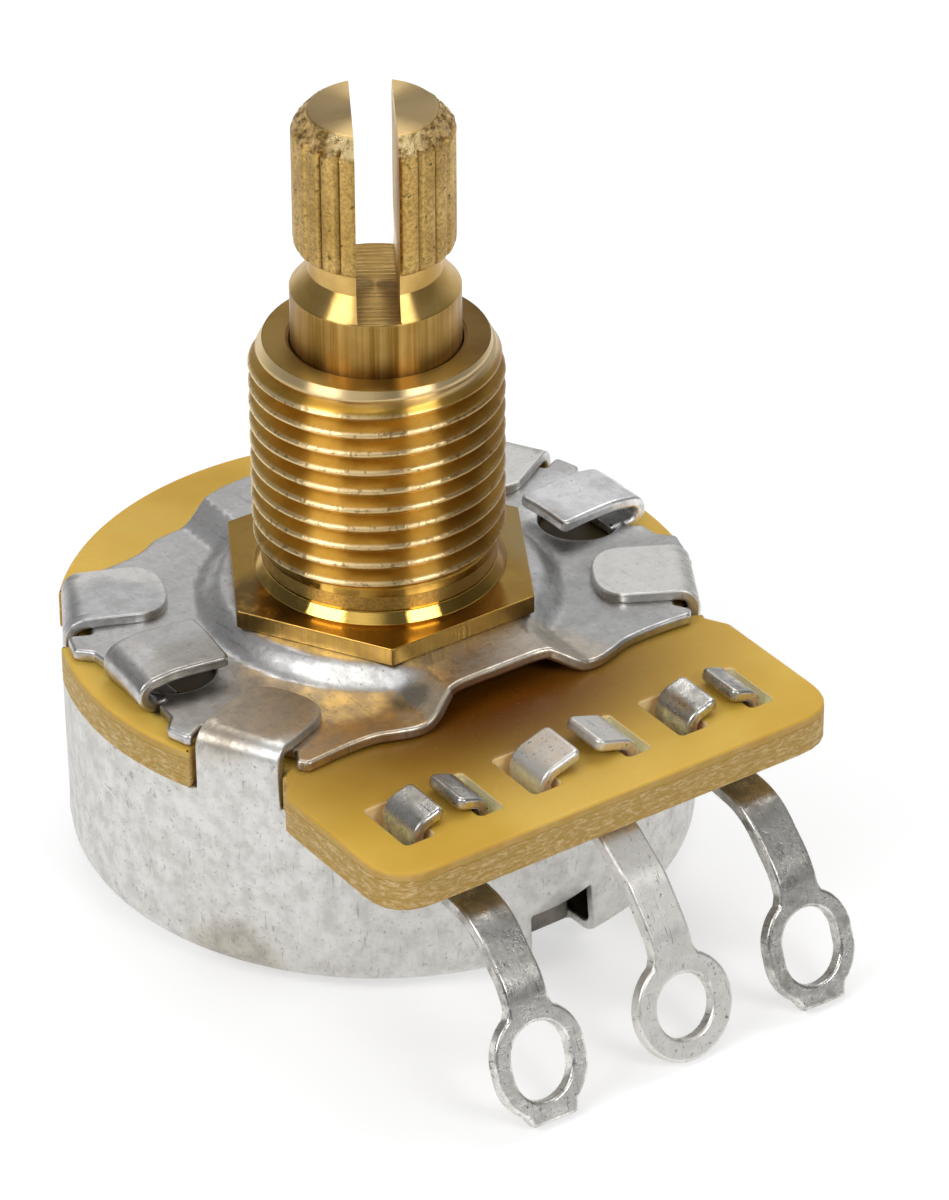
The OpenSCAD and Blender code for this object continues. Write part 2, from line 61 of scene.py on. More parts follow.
def curve(points, step):
    """Smooth open curve through the points, with a point about every step"""
    p = np.asarray(points, float)
    out = []
    for i in range(len(p) - 1):
        a, b, c, d = p[max(i - 1, 0)], p[i], p[i + 1], p[min(i + 2, len(p) - 1)]
        n = max(1, int(math.ceil(np.hypot(*(c - b)) / step)))
        for k in range(n):
            t = k / n
            square, cube = 2 * a - 5 * b + 4 * c - d, 3 * b - a - 3 * c + d
            out.append(0.5 * (2 * b + (c - a) * t + square * t * t + cube * t**3))
    out.append(p[-1])
    return np.array(out)


def rounded(points, radii):
    """Closed polygon with each corner rounded; a radius may be one number for all"""
    p = np.asarray(points, float)
    n = len(p)
    radii = [radii] * n if isinstance(radii, (int, float)) else radii
    out = []
    for i in range(n):
        a, b, c = p[i - 1], p[i], p[(i + 1) % n]
        u, v = a - b, c - b
        lu, lv = np.hypot(*u), np.hypot(*v)
        if radii[i] <= 0 or lu < 1e-6 or lv < 1e-6:
            out.append(b)
            continue
        u, v = u / lu, v / lv
        half = math.acos(max(-1, min(1, float(u @ v)))) / 2
        if half > 1.55:
            out.append(b)
            continue
        cut = min(radii[i] / math.tan(half), 0.49 * lu, 0.49 * lv)
        q0, q1 = b + u * cut, b + v * cut
        for t in np.arange(7) / 6:
            out.append((1 - t) ** 2 * q0 + 2 * t * (1 - t) * b + t * t * q1)
    return np.array(out)


def cornered(points):
    """Closed polygon from rows of x, y and corner radius"""
    p = np.array(points)
    return rounded(p[:, :2], p[:, 2])


def resample(loop, step):
    """The loop with a point at least every step"""
    out = []
    for i in range(len(loop)):
        a, b = loop[i], loop[(i + 1) % len(loop)]
        d = np.hypot(*(b - a))
        if d < 1e-4:
            continue
        k = max(1, int(math.ceil(d / step)))
        out += [a + (b - a) * j / k for j in range(k)]
    return np.array(out)


def area(loop):
    """Signed area: positive when the loop turns left"""
    x, y = loop[:, 0], loop[:, 1]
    return 0.5 * float(np.sum(x * np.roll(y, -1) - np.roll(x, -1) * y))


def left_normals(loop):
    """Unit normal at each point, to the left, and how much a corner shortens it"""
    e1 = loop - np.roll(loop, 1, 0)
    e2 = np.roll(loop, -1, 0) - loop
    e1 /= np.maximum(np.hypot(e1[:, 0], e1[:, 1]), 1e-9)[:, None]
    e2 /= np.maximum(np.hypot(e2[:, 0], e2[:, 1]), 1e-9)[:, None]
    n1 = np.column_stack([-e1[:, 1], e1[:, 0]])
    n2 = np.column_stack([-e2[:, 1], e2[:, 0]])
    m = n1 + n2
    m /= np.maximum(np.hypot(m[:, 0], m[:, 1]), 1e-9)[:, None]
    return m, np.clip(np.sum(m * n1, 1), 0.55, 1)


def inside(p, loop):
    """Which of the points lie in the loop"""
    x, y = p[:, 0][:, None], p[:, 1][:, None]
    x0, y0 = loop[:, 0][None], loop[:, 1][None]
    x1, y1 = np.roll(loop[:, 0], -1)[None], np.roll(loop[:, 1], -1)[None]
    hit = (y0 > y) != (y1 > y)
    with np.errstate(divide="ignore", invalid="ignore"):
        xs = x0 + (y - y0) * (x1 - x0) / (y1 - y0)
    return (np.sum(hit & (x < xs), 1) % 2) == 1


def near(p, loop, d):
    """Which of the points lie closer than d to a point of the loop"""
    out = np.zeros(len(p), bool)
    for k in range(0, len(p), 2000):
        gap = p[k : k + 2000, None] - loop[None]
        out[k : k + 2000] = np.min(np.hypot(gap[:, :, 0], gap[:, :, 1]), 1) < d
    return out


def grid_points(loop, step):
    """Staggered points over the loop's box"""
    lo, hi = loop.min(0), loop.max(0)
    xs = np.arange(lo[0] + step / 2, hi[0], step)
    ys = np.arange(lo[1] + step / 2, hi[1], step * 0.866)
    gx, gy = np.meshgrid(xs, ys)
    gx[1::2] += step / 2
    return np.column_stack([gx.ravel(), gy.ravel()])


def sheet(outline, holes, place, t, r=0.12, step=0.3, edge_step=0.2, seg=3, fill=None):
    """A sheet of thickness t whose edges are rounded with radius r. Its outline and holes lie in a plane
    of their own, and place maps that plane to the middle of the sheet and its unit normal.
    Returns points, normals and faces."""
    loops = []
    for k, loop in enumerate([outline] + list(holes)):
        loop = resample(np.asarray(loop, float), edge_step)
        if (area(loop) > 0) != (k == 0):
            loop = loop[::-1]
        loops.append(loop)
    insets = []
    for loop in loops:
        m, c = left_normals(loop)
        insets.append(loop + m * (r / c)[:, None])
    pts = fill if fill is not None else grid_points(loops[0], step)
    ok = inside(pts, insets[0])
    for q in insets[1:]:
        ok &= ~inside(pts, q)
    pts = pts[ok]
    for q in insets:
        pts = pts[~near(pts, q, 0.55 * min(step, edge_step * 1.6))]
    flat, edges, starts = [], [], []
    for q in insets:
        s = sum(len(f) for f in flat)
        starts.append(s)
        flat.append(q)
        edges += [(s + i, s + (i + 1) % len(q)) for i in range(len(q))]
    flat.append(pts)
    flat = np.vstack(flat)
    vv, _, tris, orig, _, _ = geometry.delaunay_2d_cdt([Vector(p) for p in flat], edges, [], 0, 1e-7)
    vv = np.array([[v.x, v.y] for v in vv])
    where = {}
    for i, o in enumerate(orig):
        for k in o:
            where[k] = i
    tris = np.array([f[:3] for f in tris])
    mid = vv[tris].mean(1)
    keep = inside(mid, insets[0])
    for q in insets[1:]:
        keep &= ~inside(mid, q)
    tris = tris[keep]
    pos, nrm = place(vv)
    n = len(vv)
    P = [pos + nrm * (t / 2), pos - nrm * (t / 2)]
    N = [nrm, -nrm]
    F = [list(f) for f in tris] + [[f[0] + n, f[2] + n, f[1] + n] for f in tris]
    count = 2 * n
    for loop, s in zip(loops, starts):
        m, c = left_normals(loop)
        size = len(loop)
        rows = [[where[s + i] for i in range(size)]]
        prof = []
        for k in range(1, seg + 1):
            a = math.radians(90 * k / seg)
            prof.append((r * (1 - math.sin(a)), t / 2 - r * (1 - math.cos(a)), a))
        prof += [(i, -o, math.pi - a) for i, o, a in reversed(prof)]
        for ins, off, a in prof:
            q = loop + m * (ins / c)[:, None]
            p0, n0 = place(q)
            p1, _ = place(q - m * 0.02)
            out = p1 - p0
            out -= n0 * np.sum(out * n0, 1)[:, None]
            out /= np.maximum(np.linalg.norm(out, axis=1), 1e-9)[:, None]
            P.append(p0 + n0 * off)
            N.append(n0 * math.cos(a) + out * math.sin(a))
            rows.append([count + i for i in range(size)])
            count += size
        rows.append([where[s + i] + n for i in range(size)])
        for a, b in zip(rows, rows[1:]):
            for i in range(size):
                j = (i + 1) % size
                F.append([a[i], b[i], b[j], a[j]])
    P, N = np.vstack(P), np.vstack(N)
    f = tris[len(tris) // 2]
    if np.cross(P[f[1]] - P[f[0]], P[f[2]] - P[f[0]]) @ N[f[0]] < 0:
        F = [q[::-1] for q in F]
    return P, N, F


def band(k, n):
    """Faces between row k and the next one, of closed rows of n points"""
    return [[k * n + i, k * n + (i + 1) % n, (k + 1) * n + (i + 1) % n, (k + 1) * n + i] for i in range(n)]


def turned(points, radii=0.0, n=160, seg=4):
    """Surface of revolution from a section of (r, z) points whose outside lies on the right hand.
    Corners with a radius are rounded, the others stay sharp; normals are exact."""
    p = np.asarray(points, float)
    m = len(p)
    radii = [radii] * m if isinstance(radii, (int, float)) else list(radii)
    d = p[1:] - p[:-1]
    d /= np.hypot(d[:, 0], d[:, 1])[:, None]
    nn = np.column_stack([d[:, 1], -d[:, 0]])
    rows = [(p[0], nn[0])]
    for i in range(1, m - 1):
        turn = math.atan2(d[i - 1][0] * d[i][1] - d[i - 1][1] * d[i][0], float(d[i - 1] @ d[i]))
        r = radii[i]
        if r <= 0:
            rows += [(p[i], nn[i - 1]), (p[i], nn[i])]
            continue
        back = r * math.tan(abs(turn) / 2)
        start = p[i] - d[i - 1] * back
        c = start + np.array([-d[i - 1][1], d[i - 1][0]]) * r * (1 if turn > 0 else -1)
        v = start - c
        for k in range(seg + 1):
            ca, sa = math.cos(turn * k / seg), math.sin(turn * k / seg)
            turn_by = np.array([[ca, -sa], [sa, ca]])
            rows.append((c + turn_by @ v, turn_by @ nn[i - 1]))
    rows.append((p[-1], nn[-1]))
    a = np.arange(n) * 2 * math.pi / n
    c, sn = np.cos(a), np.sin(a)
    P = [np.column_stack([q[0] * c, q[0] * sn, np.full(n, q[1])]) for q, _ in rows]
    N = [np.column_stack([u[0] * c, u[0] * sn, np.full(n, u[1])]) for _, u in rows]
    F = []
    for k in range(len(rows) - 1):
        if np.hypot(*(rows[k + 1][0] - rows[k][0])) < 1e-6:
            continue
        F += band(k, n)
    return np.vstack(P), np.vstack(N), F


def grid_normals(G):
    """Unit normals of a grid of points, rows by columns, from its differences"""
    du = np.gradient(G, axis=0)
    dv = np.gradient(G, axis=1)
    n = np.cross(dv, du)
    return n / np.maximum(np.linalg.norm(n, axis=2), 1e-12)[:, :, None]


def on_height(height, t):
    """Placement of a flat-laid sheet whose upper face is at height(points)"""
    def place(p):
        e = 0.01
        z = height(p)
        dx = (height(p + [e, 0]) - height(p - [e, 0])) / (2 * e)
        dy = (height(p + [0, e]) - height(p - [0, e])) / (2 * e)
        n = np.column_stack([-dx, -dy, np.ones(len(p))])
        n /= np.linalg.norm(n, axis=1)[:, None]
        return np.column_stack([p, z]) - n * (t / 2), n
    return place


def circle(x, y, r, n=48):
    a = np.arange(n) * 2 * math.pi / n
    return np.column_stack([x + r * np.cos(a), y + r * np.sin(a)])


def at_level(z, t):
    """Placement of a flat sheet of thickness t with its top at z"""
    return on_height(lambda p: np.full(len(p), z), t)


def arc(a, b, r, n):
    """Points round the axis from a to b degrees, as rows of x, y and no corner radius"""
    return [(r * math.cos(t), r * math.sin(t), 0) for t in np.radians(np.linspace(a, b, n))]


def box_loop(x, y, w, l, r):
    return rounded([(x - w / 2, y - l / 2), (x + w / 2, y - l / 2), (x + w / 2, y + l / 2), (x - w / 2, y + l / 2)], r)


def rough_edge(angles, scale, height):
    """Smooth noise, -1 to 1, round the axis"""
    return np.array([noise.noise(Vector((math.cos(t) * scale, math.sin(t) * scale, height))) for t in angles])


def merge(*parts):
    P, N, F = [], [], []
    for p, n, f in parts:
        count = sum(len(q) for q in P)
        P.append(p)
        N.append(n)
        F += [[i + count for i in face] for face in f]
    return np.vstack(P), np.vstack(N), F


def piece(name, body, mat, part, node):
    """A mesh object from points in millimetres, normals and faces"""
    P, N, F = part
    me = bpy.data.meshes.new(name)
    me.from_pydata((np.asarray(P) * MM).tolist(), [], F)
    me.polygons.foreach_set("use_smooth", [True] * len(me.polygons))
    me.normals_split_custom_set_from_vertices(np.asarray(N).tolist())
    me.update()
    ob = bpy.data.objects.new(name, me)
    bpy.context.scene.collection.objects.link(ob)
    me.materials.append(mat)
    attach(ob, body)
    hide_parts(node)


# Materials

class Nodes:
    """Short names for building a node tree"""

    def __init__(self, name):
        self.mat = bpy.data.materials.new(name)
        self.mat.use_nodes = True
        self.tree = self.mat.node_tree
        self.tree.nodes.clear()
        self.out = self.add("ShaderNodeOutputMaterial")
        self.coord = self.add("ShaderNodeTexCoord").outputs["Object"]

    def add(self, kind, **props):
        n = self.tree.nodes.new(kind)
        for k, v in props.items():
            setattr(n, k, v)
        return n

    def put(self, socket, value):
        if isinstance(value, bpy.types.NodeSocket):
            self.tree.links.new(value, socket)
        elif isinstance(value, (tuple, list)) and len(value) == 3 and socket.type == "RGBA":
            socket.default_value = (*value, 1)
        else:
            socket.default_value = value

    def noise(self, scale, detail=3, rough=0.5, vector=None, distort=0.0):
        n = self.add("ShaderNodeTexNoise")
        self.put(n.inputs["Vector"], vector or self.coord)
        n.inputs["Scale"].default_value = scale
        n.inputs["Detail"].default_value = detail
        n.inputs["Roughness"].default_value = rough
        n.inputs["Distortion"].default_value = distort
        return n.outputs["Fac"]

    def stretch(self, scale, turn=(0, 0, 0), vector=None):
        n = self.add("ShaderNodeMapping")
        self.put(n.inputs["Vector"], vector or self.coord)
        n.inputs["Scale"].default_value = scale
        n.inputs["Rotation"].default_value = turn
        return n.outputs["Vector"]

    def ramp(self, fac, low, high, a=0.0, b=1.0):
        """Map Range from low..high to a..b, clamped and smooth"""
        n = self.add("ShaderNodeMapRange", interpolation_type="SMOOTHSTEP")
        self.put(n.inputs["Value"], fac)
        n.inputs["From Min"].default_value = low
        n.inputs["From Max"].default_value = high
        n.inputs["To Min"].default_value = a
        n.inputs["To Max"].default_value = b
        return n.outputs["Result"]

    def mix(self, fac, a, b, blend="MIX"):
        n = self.add("ShaderNodeMix", data_type="RGBA", blend_type=blend)
        self.put(n.inputs[0], fac)
        self.put(n.inputs[6], a)
        self.put(n.inputs[7], b)
        return n.outputs[2]

    def coat(self, colour, *factors):
        """Lays a colour over the tone so far, as far as the factors' product says"""
        self.tone = self.mix(self.times(*factors), self.tone, colour)

    def math(self, op, a, b=0.0):
        n = self.add("ShaderNodeMath", operation=op)
        self.put(n.inputs[0], a)
        self.put(n.inputs[1], b)
        return n.outputs[0]

    def times(self, first, *rest):
        for factor in rest:
            first = self.math("MULTIPLY", first, factor)
        return first

    def plus(self, a, b):
        return self.math("ADD", a, b)

    def minus(self, a, b):
        return self.math("SUBTRACT", a, b)

    def abs(self, a):
        return self.math("ABSOLUTE", a)

    def xyz(self, vector=None):
        n = self.add("ShaderNodeSeparateXYZ")
        self.put(n.inputs[0], vector or self.coord)
        return n.outputs

    def radius(self):
        x, y, _ = self.xyz()
        return self.math("SQRT", self.plus(self.times(x, x), self.times(y, y)))

    def distance(self, vector, centre):
        """Distance of the vector from a point, in metres"""
        n = self.add("ShaderNodeVectorMath", operation="DISTANCE")
        self.put(n.inputs[0], vector)
        n.inputs[1].default_value = centre
        return n.outputs["Value"]

    def bump(self, height, distance, strength=1.0, normal=None):
        n = self.add("ShaderNodeBump")
        self.put(n.inputs["Height"], height)
        n.inputs["Distance"].default_value = distance
        n.inputs["Strength"].default_value = strength
        if normal is not None:
            self.put(n.inputs["Normal"], normal)
        return n.outputs["Normal"]

    def finish(self, roughness, metallic, normal, turned=0.0, **more):
        p = self.add("ShaderNodeBsdfPrincipled")
        self.put(p.inputs["Base Color"], self.tone)
        self.put(p.inputs["Roughness"], roughness)
        p.inputs["Metallic"].default_value = metallic
        self.put(p.inputs["Normal"], normal)
        if turned:
            # fine marks round the axis spread a reflection along it
            t = self.add("ShaderNodeTangent", direction_type="RADIAL", axis="Z")
            p.inputs["Anisotropic"].default_value = turned
            p.inputs["Anisotropic Rotation"].default_value = 0.25
            self.put(p.inputs["Tangent"], t.outputs[0])
        for k, v in more.items():
            p.inputs[k.replace("_", " ")].default_value = v
        self.tree.links.new(p.outputs[0], self.out.inputs[0])
        return self.mat


# Places in the materials are in metres
def brass_thread():
    m = Nodes("bushing_brass")
    x, y, z = m.xyz()
    radius = m.radius()
    large = m.noise(420, 4, 0.6)
    spots = m.noise(4200, 3, 0.6)
    rings = m.noise(1.0, 4, 0.75, vector=m.stretch((40, 40, 16000)))
    m.tone = m.mix(m.ramp(large, 0.35, 0.7), (0.69, 0.415, 0.085), (0.53, 0.29, 0.042))
    # crests are painted pale: partly brushed-bright brass, partly a painted highlight; with dark pits
    crest = m.times(m.ramp(radius, 0.00463, 0.00472), m.ramp(z, 0.0012, 0.0016))
    m.coat((0.97, 0.76, 0.42), crest, 0.8)
    m.coat((0.20, 0.12, 0.04), m.ramp(spots, 0.55, 0.63), m.plus(m.times(crest, 0.5), 0.1))
    # painted dark reflection: the barrel's top face is darkened
    end = m.ramp(z, 0.00969, 0.0097)
    m.coat((0.42, 0.26, 0.08), end, 0.55)
    # a dark smear at the left of the foot, and tool lines on the hexagon's sides
    hexa = m.ramp(radius, 0.00478, 0.00484)
    left = m.times(m.ramp(x, -0.0034, -0.0043), m.ramp(m.abs(y), 0.0024, 0.0012))
    smear = m.ramp(m.noise(700, 3, 0.6), 0.38, 0.52)
    m.coat((0.09, 0.045, 0.012), m.ramp(z, 0.0026, 0.0005), left, smear, 0.88)
    side = m.times(hexa, m.ramp(z, -0.00001, -0.00006))
    lines = m.noise(1.0, 4, 0.7, vector=m.stretch((7000, 7000, 120)))
    m.coat((0.40, 0.25, 0.08), side, m.ramp(lines, 0.42, 0.62, 0.2, 0.75))
    # painted highlight: the flared foot and relief are painted a paler brass to brighten their reflections
    foot = m.ramp(z, 0.0016, 0.0012)
    m.coat((0.80, 0.55, 0.15), foot, m.ramp(radius, 0.00477, 0.00474), 0.45)
    m.coat((0.40, 0.25, 0.08), hexa, 0.35)
    # painted shade: the barrel's right side and the hexagon's right face are darkened
    right = m.plus(m.times(x, 0.83), m.times(y, -0.56))
    painted_shade_right = m.times(m.ramp(right, 0.0008, 0.0042), m.ramp(radius, 0.00484, 0.00478))
    m.coat((0.24, 0.12, 0.018), painted_shade_right, m.ramp(large, 0.3, 0.7, 0.65, 0.95))
    # painted shade on the hexagon's right face
    m.coat((0.15, 0.09, 0.025), side, m.ramp(right, 0.0040, 0.0056), m.ramp(large, 0.3, 0.7, 0.6, 0.9))
    # the barrel's bevelled end is painted bright: brushed brass and a painted highlight
    m.coat((0.97, 0.80, 0.48), m.ramp(z, 0.0091, 0.0094), m.minus(1.0, end), 0.6)
    far_corner = m.times(m.ramp(x, 0.0035, 0.0052), m.ramp(z, 0.0001, 0.00002))
    m.coat((0.52, 0.42, 0.24), far_corner, m.ramp(large, 0.3, 0.6, 0.3, 0.7))
    # a matt band runs round above the flare
    grain = m.times(m.ramp(z, 0.00046, 0.0005), m.ramp(z, 0.00106, 0.001))
    m.coat((0.36, 0.23, 0.08), grain, m.ramp(m.noise(9000, 3, 0.7), 0.4, 0.6, 0.2, 0.8))
    rough = m.minus(m.ramp(large, 0.3, 0.7, 0.28, 0.33), m.times(foot, 0.18))
    rough = m.plus(m.plus(rough, m.times(grain, 0.3)), m.times(side, 0.12))
    nrm = m.bump(rings, 0.000003, 0.4)
    nrm = m.bump(m.times(spots, m.plus(crest, 0.15)), 0.00002, 0.7, nrm)
    nrm = m.bump(m.times(lines, side), 0.00002, 0.8, nrm)
    return m.finish(rough, 1.0, nrm, turned=0.97)


def brass_shaft():
    m = Nodes("shaft_brass")
    z = m.xyz()[2]
    large = m.noise(380, 4, 0.6)
    grit = m.noise(7000, 4, 0.75)
    streak = m.noise(1.0, 4, 0.65, vector=m.stretch((2600, 2600, 45)))
    rings = m.noise(1.0, 4, 0.75, vector=m.stretch((40, 40, 16000)))
    knurled = m.times(m.ramp(z, 0.0134, 0.0136), m.ramp(z, 0.01904, 0.019))
    m.tone = m.mix(m.ramp(large, 0.35, 0.7), (0.76, 0.51, 0.175), (0.54, 0.335, 0.09))
    # the slot's own frame: its x runs along the slot
    across = m.stretch((1, 1, 1), (0, 0, -math.radians(SLOT_ANGLE)))
    off = m.abs(m.xyz(across)[1])
    # the rolled flats are matt and speckled, with a few dark specks, and dark between them
    m.coat((0.33, 0.21, 0.065), knurled, m.ramp(grit, 0.42, 0.60, 0, 0.7))
    m.coat((0.09, 0.05, 0.015), knurled, m.ramp(m.noise(3000, 2, 0.5), 0.66, 0.72, 0, 0.8))
    groove = m.times(knurled, m.ramp(m.radius(), 0.00296, 0.00288), m.ramp(z, 0.01835, 0.0181))
    groove = m.times(groove, m.ramp(off, 0.00085, 0.00095))
    m.coat((0.20, 0.115, 0.03), groove, m.ramp(streak, 0.3, 0.6, 0.35, 0.85))
    # the collar and its cone carry long streaks, darkened as a painted dark reflection
    m.coat((0.24, 0.122, 0.02), m.ramp(z, 0.0119, 0.0117), m.ramp(streak, 0.36, 0.64, 0.45, 0.98))
    # the saw's marks lie along the slot's floor
    saw = m.noise(1.0, 3, 0.7, vector=m.stretch((7500, 260, 100), (0, 0, 0), across))
    floor = m.times(m.ramp(off, 0.00083, 0.00079), m.ramp(z, 0.01179, 0.0118), m.ramp(z, 0.01188, 0.01182))
    m.coat((0.27, 0.165, 0.045), floor, m.ramp(saw, 0.4, 0.6, 0.35, 0.9))
    # the top edge is crushed: dirty round the back, bright beside the slot
    burr = m.times(m.ramp(z, 0.01832, 0.0185), m.ramp(z, 0.01903, 0.01897))
    crush = m.noise(2600, 5, 0.75)
    crushed = m.mix(m.ramp(crush, 0.42, 0.56), (0.22, 0.125, 0.035), (0.74, 0.52, 0.22))
    bright = m.mix(m.ramp(crush, 0.36, 0.5), (0.42, 0.27, 0.08), (0.95, 0.76, 0.40))
    m.coat(m.mix(m.ramp(off, 0.0019, 0.0013), crushed, bright), burr, 0.9)
    top = m.ramp(z, 0.01903, 0.01904)
    m.coat((0.62, 0.47, 0.25), top, 0.6)
    scratch = m.noise(1.0, 3, 0.6, vector=m.stretch((600, 14000, 600), (0, 0, 0.9)))
    scratch2 = m.noise(1.0, 3, 0.6, vector=m.stretch((700, 9000, 700), (0, 0, 2.3)))
    m.coat((0.95, 0.85, 0.6), top, m.ramp(scratch, 0.66, 0.74, 0, 0.6))
    rough = m.plus(m.ramp(large, 0.3, 0.7, 0.28, 0.33), m.times(knurled, 0.1))
    rough = m.minus(m.plus(rough, m.times(top, 0.05)), m.times(burr, 0.12))
    nrm = m.bump(rings, 0.000003, 0.5)
    nrm = m.bump(m.times(grit, m.plus(knurled, 0.08)), 0.00002, 0.8, nrm)
    nrm = m.bump(m.times(crush, burr), 0.00022, 1.0, nrm)
    nrm = m.bump(m.times(saw, floor), 0.00003, 0.9, nrm)
    nrm = m.bump(m.times(m.plus(scratch, scratch2), top), 0.00001, 0.6, nrm)
    return m.finish(rough, 1.0, nrm, turned=0.95)


def grey_metal(name, light, dark, rough, mottle, speck, dirt=0.12, stains_and_painted_light=()):
    """Tinned or plated sheet; the patches, of stains and of painted light and shade, are (centre, radius, colour,
    amount), in millimetres
    """
    m = Nodes(name)
    big = m.noise(220, 5, 0.6)
    mid = m.noise(1400, 5, 0.65)
    fine = m.noise(6500, 3, 0.6)
    m.tone = m.mix(m.ramp(mid, 0.35, 0.68), light, dark)
    m.coat(dark, m.ramp(big, 0.5, 0.8, 0, 0.5))
    for centre, radius, colour, amount in stains_and_painted_light:
        away = m.distance(m.coord, [c * MM for c in centre])
        away = m.plus(away, m.times(m.minus(big, 0.5), radius * MM))
        patch_colour = m.mix(m.ramp(mid, 0.35, 0.65), colour, tuple(c * 0.7 for c in colour))
        m.coat(patch_colour, m.ramp(away, radius * MM * 1.15, radius * MM * 0.75, 0, amount))
    m.coat((0.10, 0.09, 0.08), m.ramp(fine, 0.60, 0.74, 0, speck))
    m.coat((0.30, 0.22, 0.13), m.ramp(big, 0.52, 0.75), dirt)
    scratch = m.noise(1.0, 4, 0.7, vector=m.stretch((9000, 500, 900), (0.3, 0.5, 0.9)))
    scratch2 = m.noise(1.0, 4, 0.7, vector=m.stretch((500, 8000, 900), (0.9, 0.2, 0.5)))
    m.coat((0.16, 0.15, 0.14), m.ramp(scratch, 0.62, 0.66, 0, speck * 0.8))
    m.coat((0.95, 0.94, 0.92), m.ramp(scratch2, 0.63, 0.67, 0, speck * 0.6))
    nrm = m.bump(mid, 0.00002 * mottle, 0.6)
    nrm = m.bump(fine, 0.000006 * mottle, 0.5, nrm)
    nrm = m.bump(m.plus(scratch, scratch2), 0.000004, 0.6, nrm)
    return m.finish(m.plus(m.ramp(mid, 0.3, 0.7, *rough), m.ramp(fine, 0.4, 0.8, 0, 0.1)), 1.0, nrm)


def laminate():
    m = Nodes("laminate")
    x, y, z = m.xyz()
    big = m.noise(160, 4, 0.5)
    fibre = m.noise(1.0, 5, 0.75, vector=m.stretch((2300, 2300, 7600)), distort=0.5)
    weave = m.noise(900, 4, 0.7)
    m.tone = m.mix(m.ramp(big, 0.35, 0.7), (0.72, 0.475, 0.092), (0.61, 0.37, 0.048))
    # painted shadow: the middle of the board in front of the plate is darkened
    away = m.distance(m.stretch((0.55, 1, 1)), (-0.0002, -0.0079, BOARD_Z * MM))
    m.coat((0.12, 0.036, 0.002), m.ramp(away, 0.0080, 0.0008))
    m.coat((0.80, 0.66, 0.36), m.ramp(m.noise(9000, 2), 0.72, 0.8, 0, 0.5))
    # painted shade: the board is darkened under the folded lugs, where the plate's holes show it
    for hole in (-0.0093, 0.0093):
        off = m.abs(m.minus(x, hole))
        m.coat((0.035, 0.028, 0.02), m.ramp(off, 0.0020, 0.0016), m.ramp(m.abs(y), 0.0020, 0.0016), 0.92)
    # the cut edge: a smooth top layer, a broken line under it, and pale fibres below
    depth = m.minus(BOARD_Z * MM, z)
    side = m.ramp(depth, 0.00004, 0.00012)
    core = m.ramp(m.plus(depth, m.times(weave, 0.0005)), 0.00055, 0.00068)
    pale = m.mix(m.ramp(fibre, 0.44, 0.66), (0.54, 0.345, 0.095), (0.82, 0.64, 0.34))
    layer = m.mix(m.ramp(weave, 0.35, 0.7), (0.56, 0.36, 0.09), (0.66, 0.47, 0.17))
    line = m.times(m.ramp(core, 0.05, 0.4), m.ramp(core, 0.95, 0.5), 0.5)
    m.coat(m.mix(line, m.mix(core, layer, pale), (0.28, 0.16, 0.04)), side, 0.9)
    # the slots' broken walls are painted pale cream: the pale core, lightened further as painted light in the slots'
    # shade
    row = m.times(m.ramp(m.abs(m.plus(y, ROW_Y * MM)), 0.0016, 0.0015), m.ramp(m.abs(x), 0.0092, 0.0091))
    m.coat((0.95, 0.74, 0.40), row, m.ramp(depth, 0.00002, 0.00008), 0.85)
    nrm = m.bump(m.noise(1200, 3, 0.6), 0.000008, 0.5)
    nrm = m.bump(m.times(fibre, side, core), 0.00004, 0.8, nrm)
    return m.finish(m.plus(m.ramp(big, 0.3, 0.7, 0.26, 0.36), m.times(side, 0.25)), 0.0, nrm,
                    Subsurface_Weight=0.35, Subsurface_Scale=0.0011, IOR=1.38, Specular_IOR_Level=0.3)


PLATE_STAINS_AND_PAINTED_LIGHT = [
    # painted reflection: a warm tan patch on the front-left flat
    ((-6.6, -6.9, -1.6), 2.7, (0.62, 0.47, 0.29), 0.8),
    # painted highlight: the right lug lightened to white
    ((10.2, 0.5, -0.1), 3.0, (1.0, 1.0, 1.0), 1.0),
    ((5.6, -6.0, -1.4), 3.0, (0.50, 0.50, 0.49), 0.8),
    ((9.3, -4.6, -1.3), 2.6, (0.46, 0.46, 0.45), 0.6),
    ((-9.4, -2.0, -1.3), 2.4, (0.36, 0.32, 0.25), 0.5),
    ((1.5, -8.5, -0.9), 3.2, (0.72, 0.60, 0.44), 0.6),
    ((-2.5, -8.9, -1.0), 2.2, (0.72, 0.60, 0.42), 0.7),
    # painted highlight: a near-white band along the boss's front-left foot
    ((-5.3, -5.2, -0.8), 1.9, (1.0, 0.98, 0.92), 0.95),
    ((-3.6, -7.0, -0.9), 0.9, (0.28, 0.26, 0.23), 0.75),
]
CAN_STAINS_AND_PAINTED_SHADE = [
    # painted shade: the stop inside the window and the window's edges are darkened
    ((-0.2, -10.4, -9.6), 2.0, (0.16, 0.14, 0.11), 0.9),
    ((-9.2, 3.7, -0.4), 2.6, (0.60, 0.60, 0.60), 0.9),
    ((-8.6, -4.2, -1.0), 2.6, (0.46, 0.38, 0.28), 0.8),
    ((-11.2, -6.2, -11.3), 2.6, (0.40, 0.34, 0.24), 0.5),
]
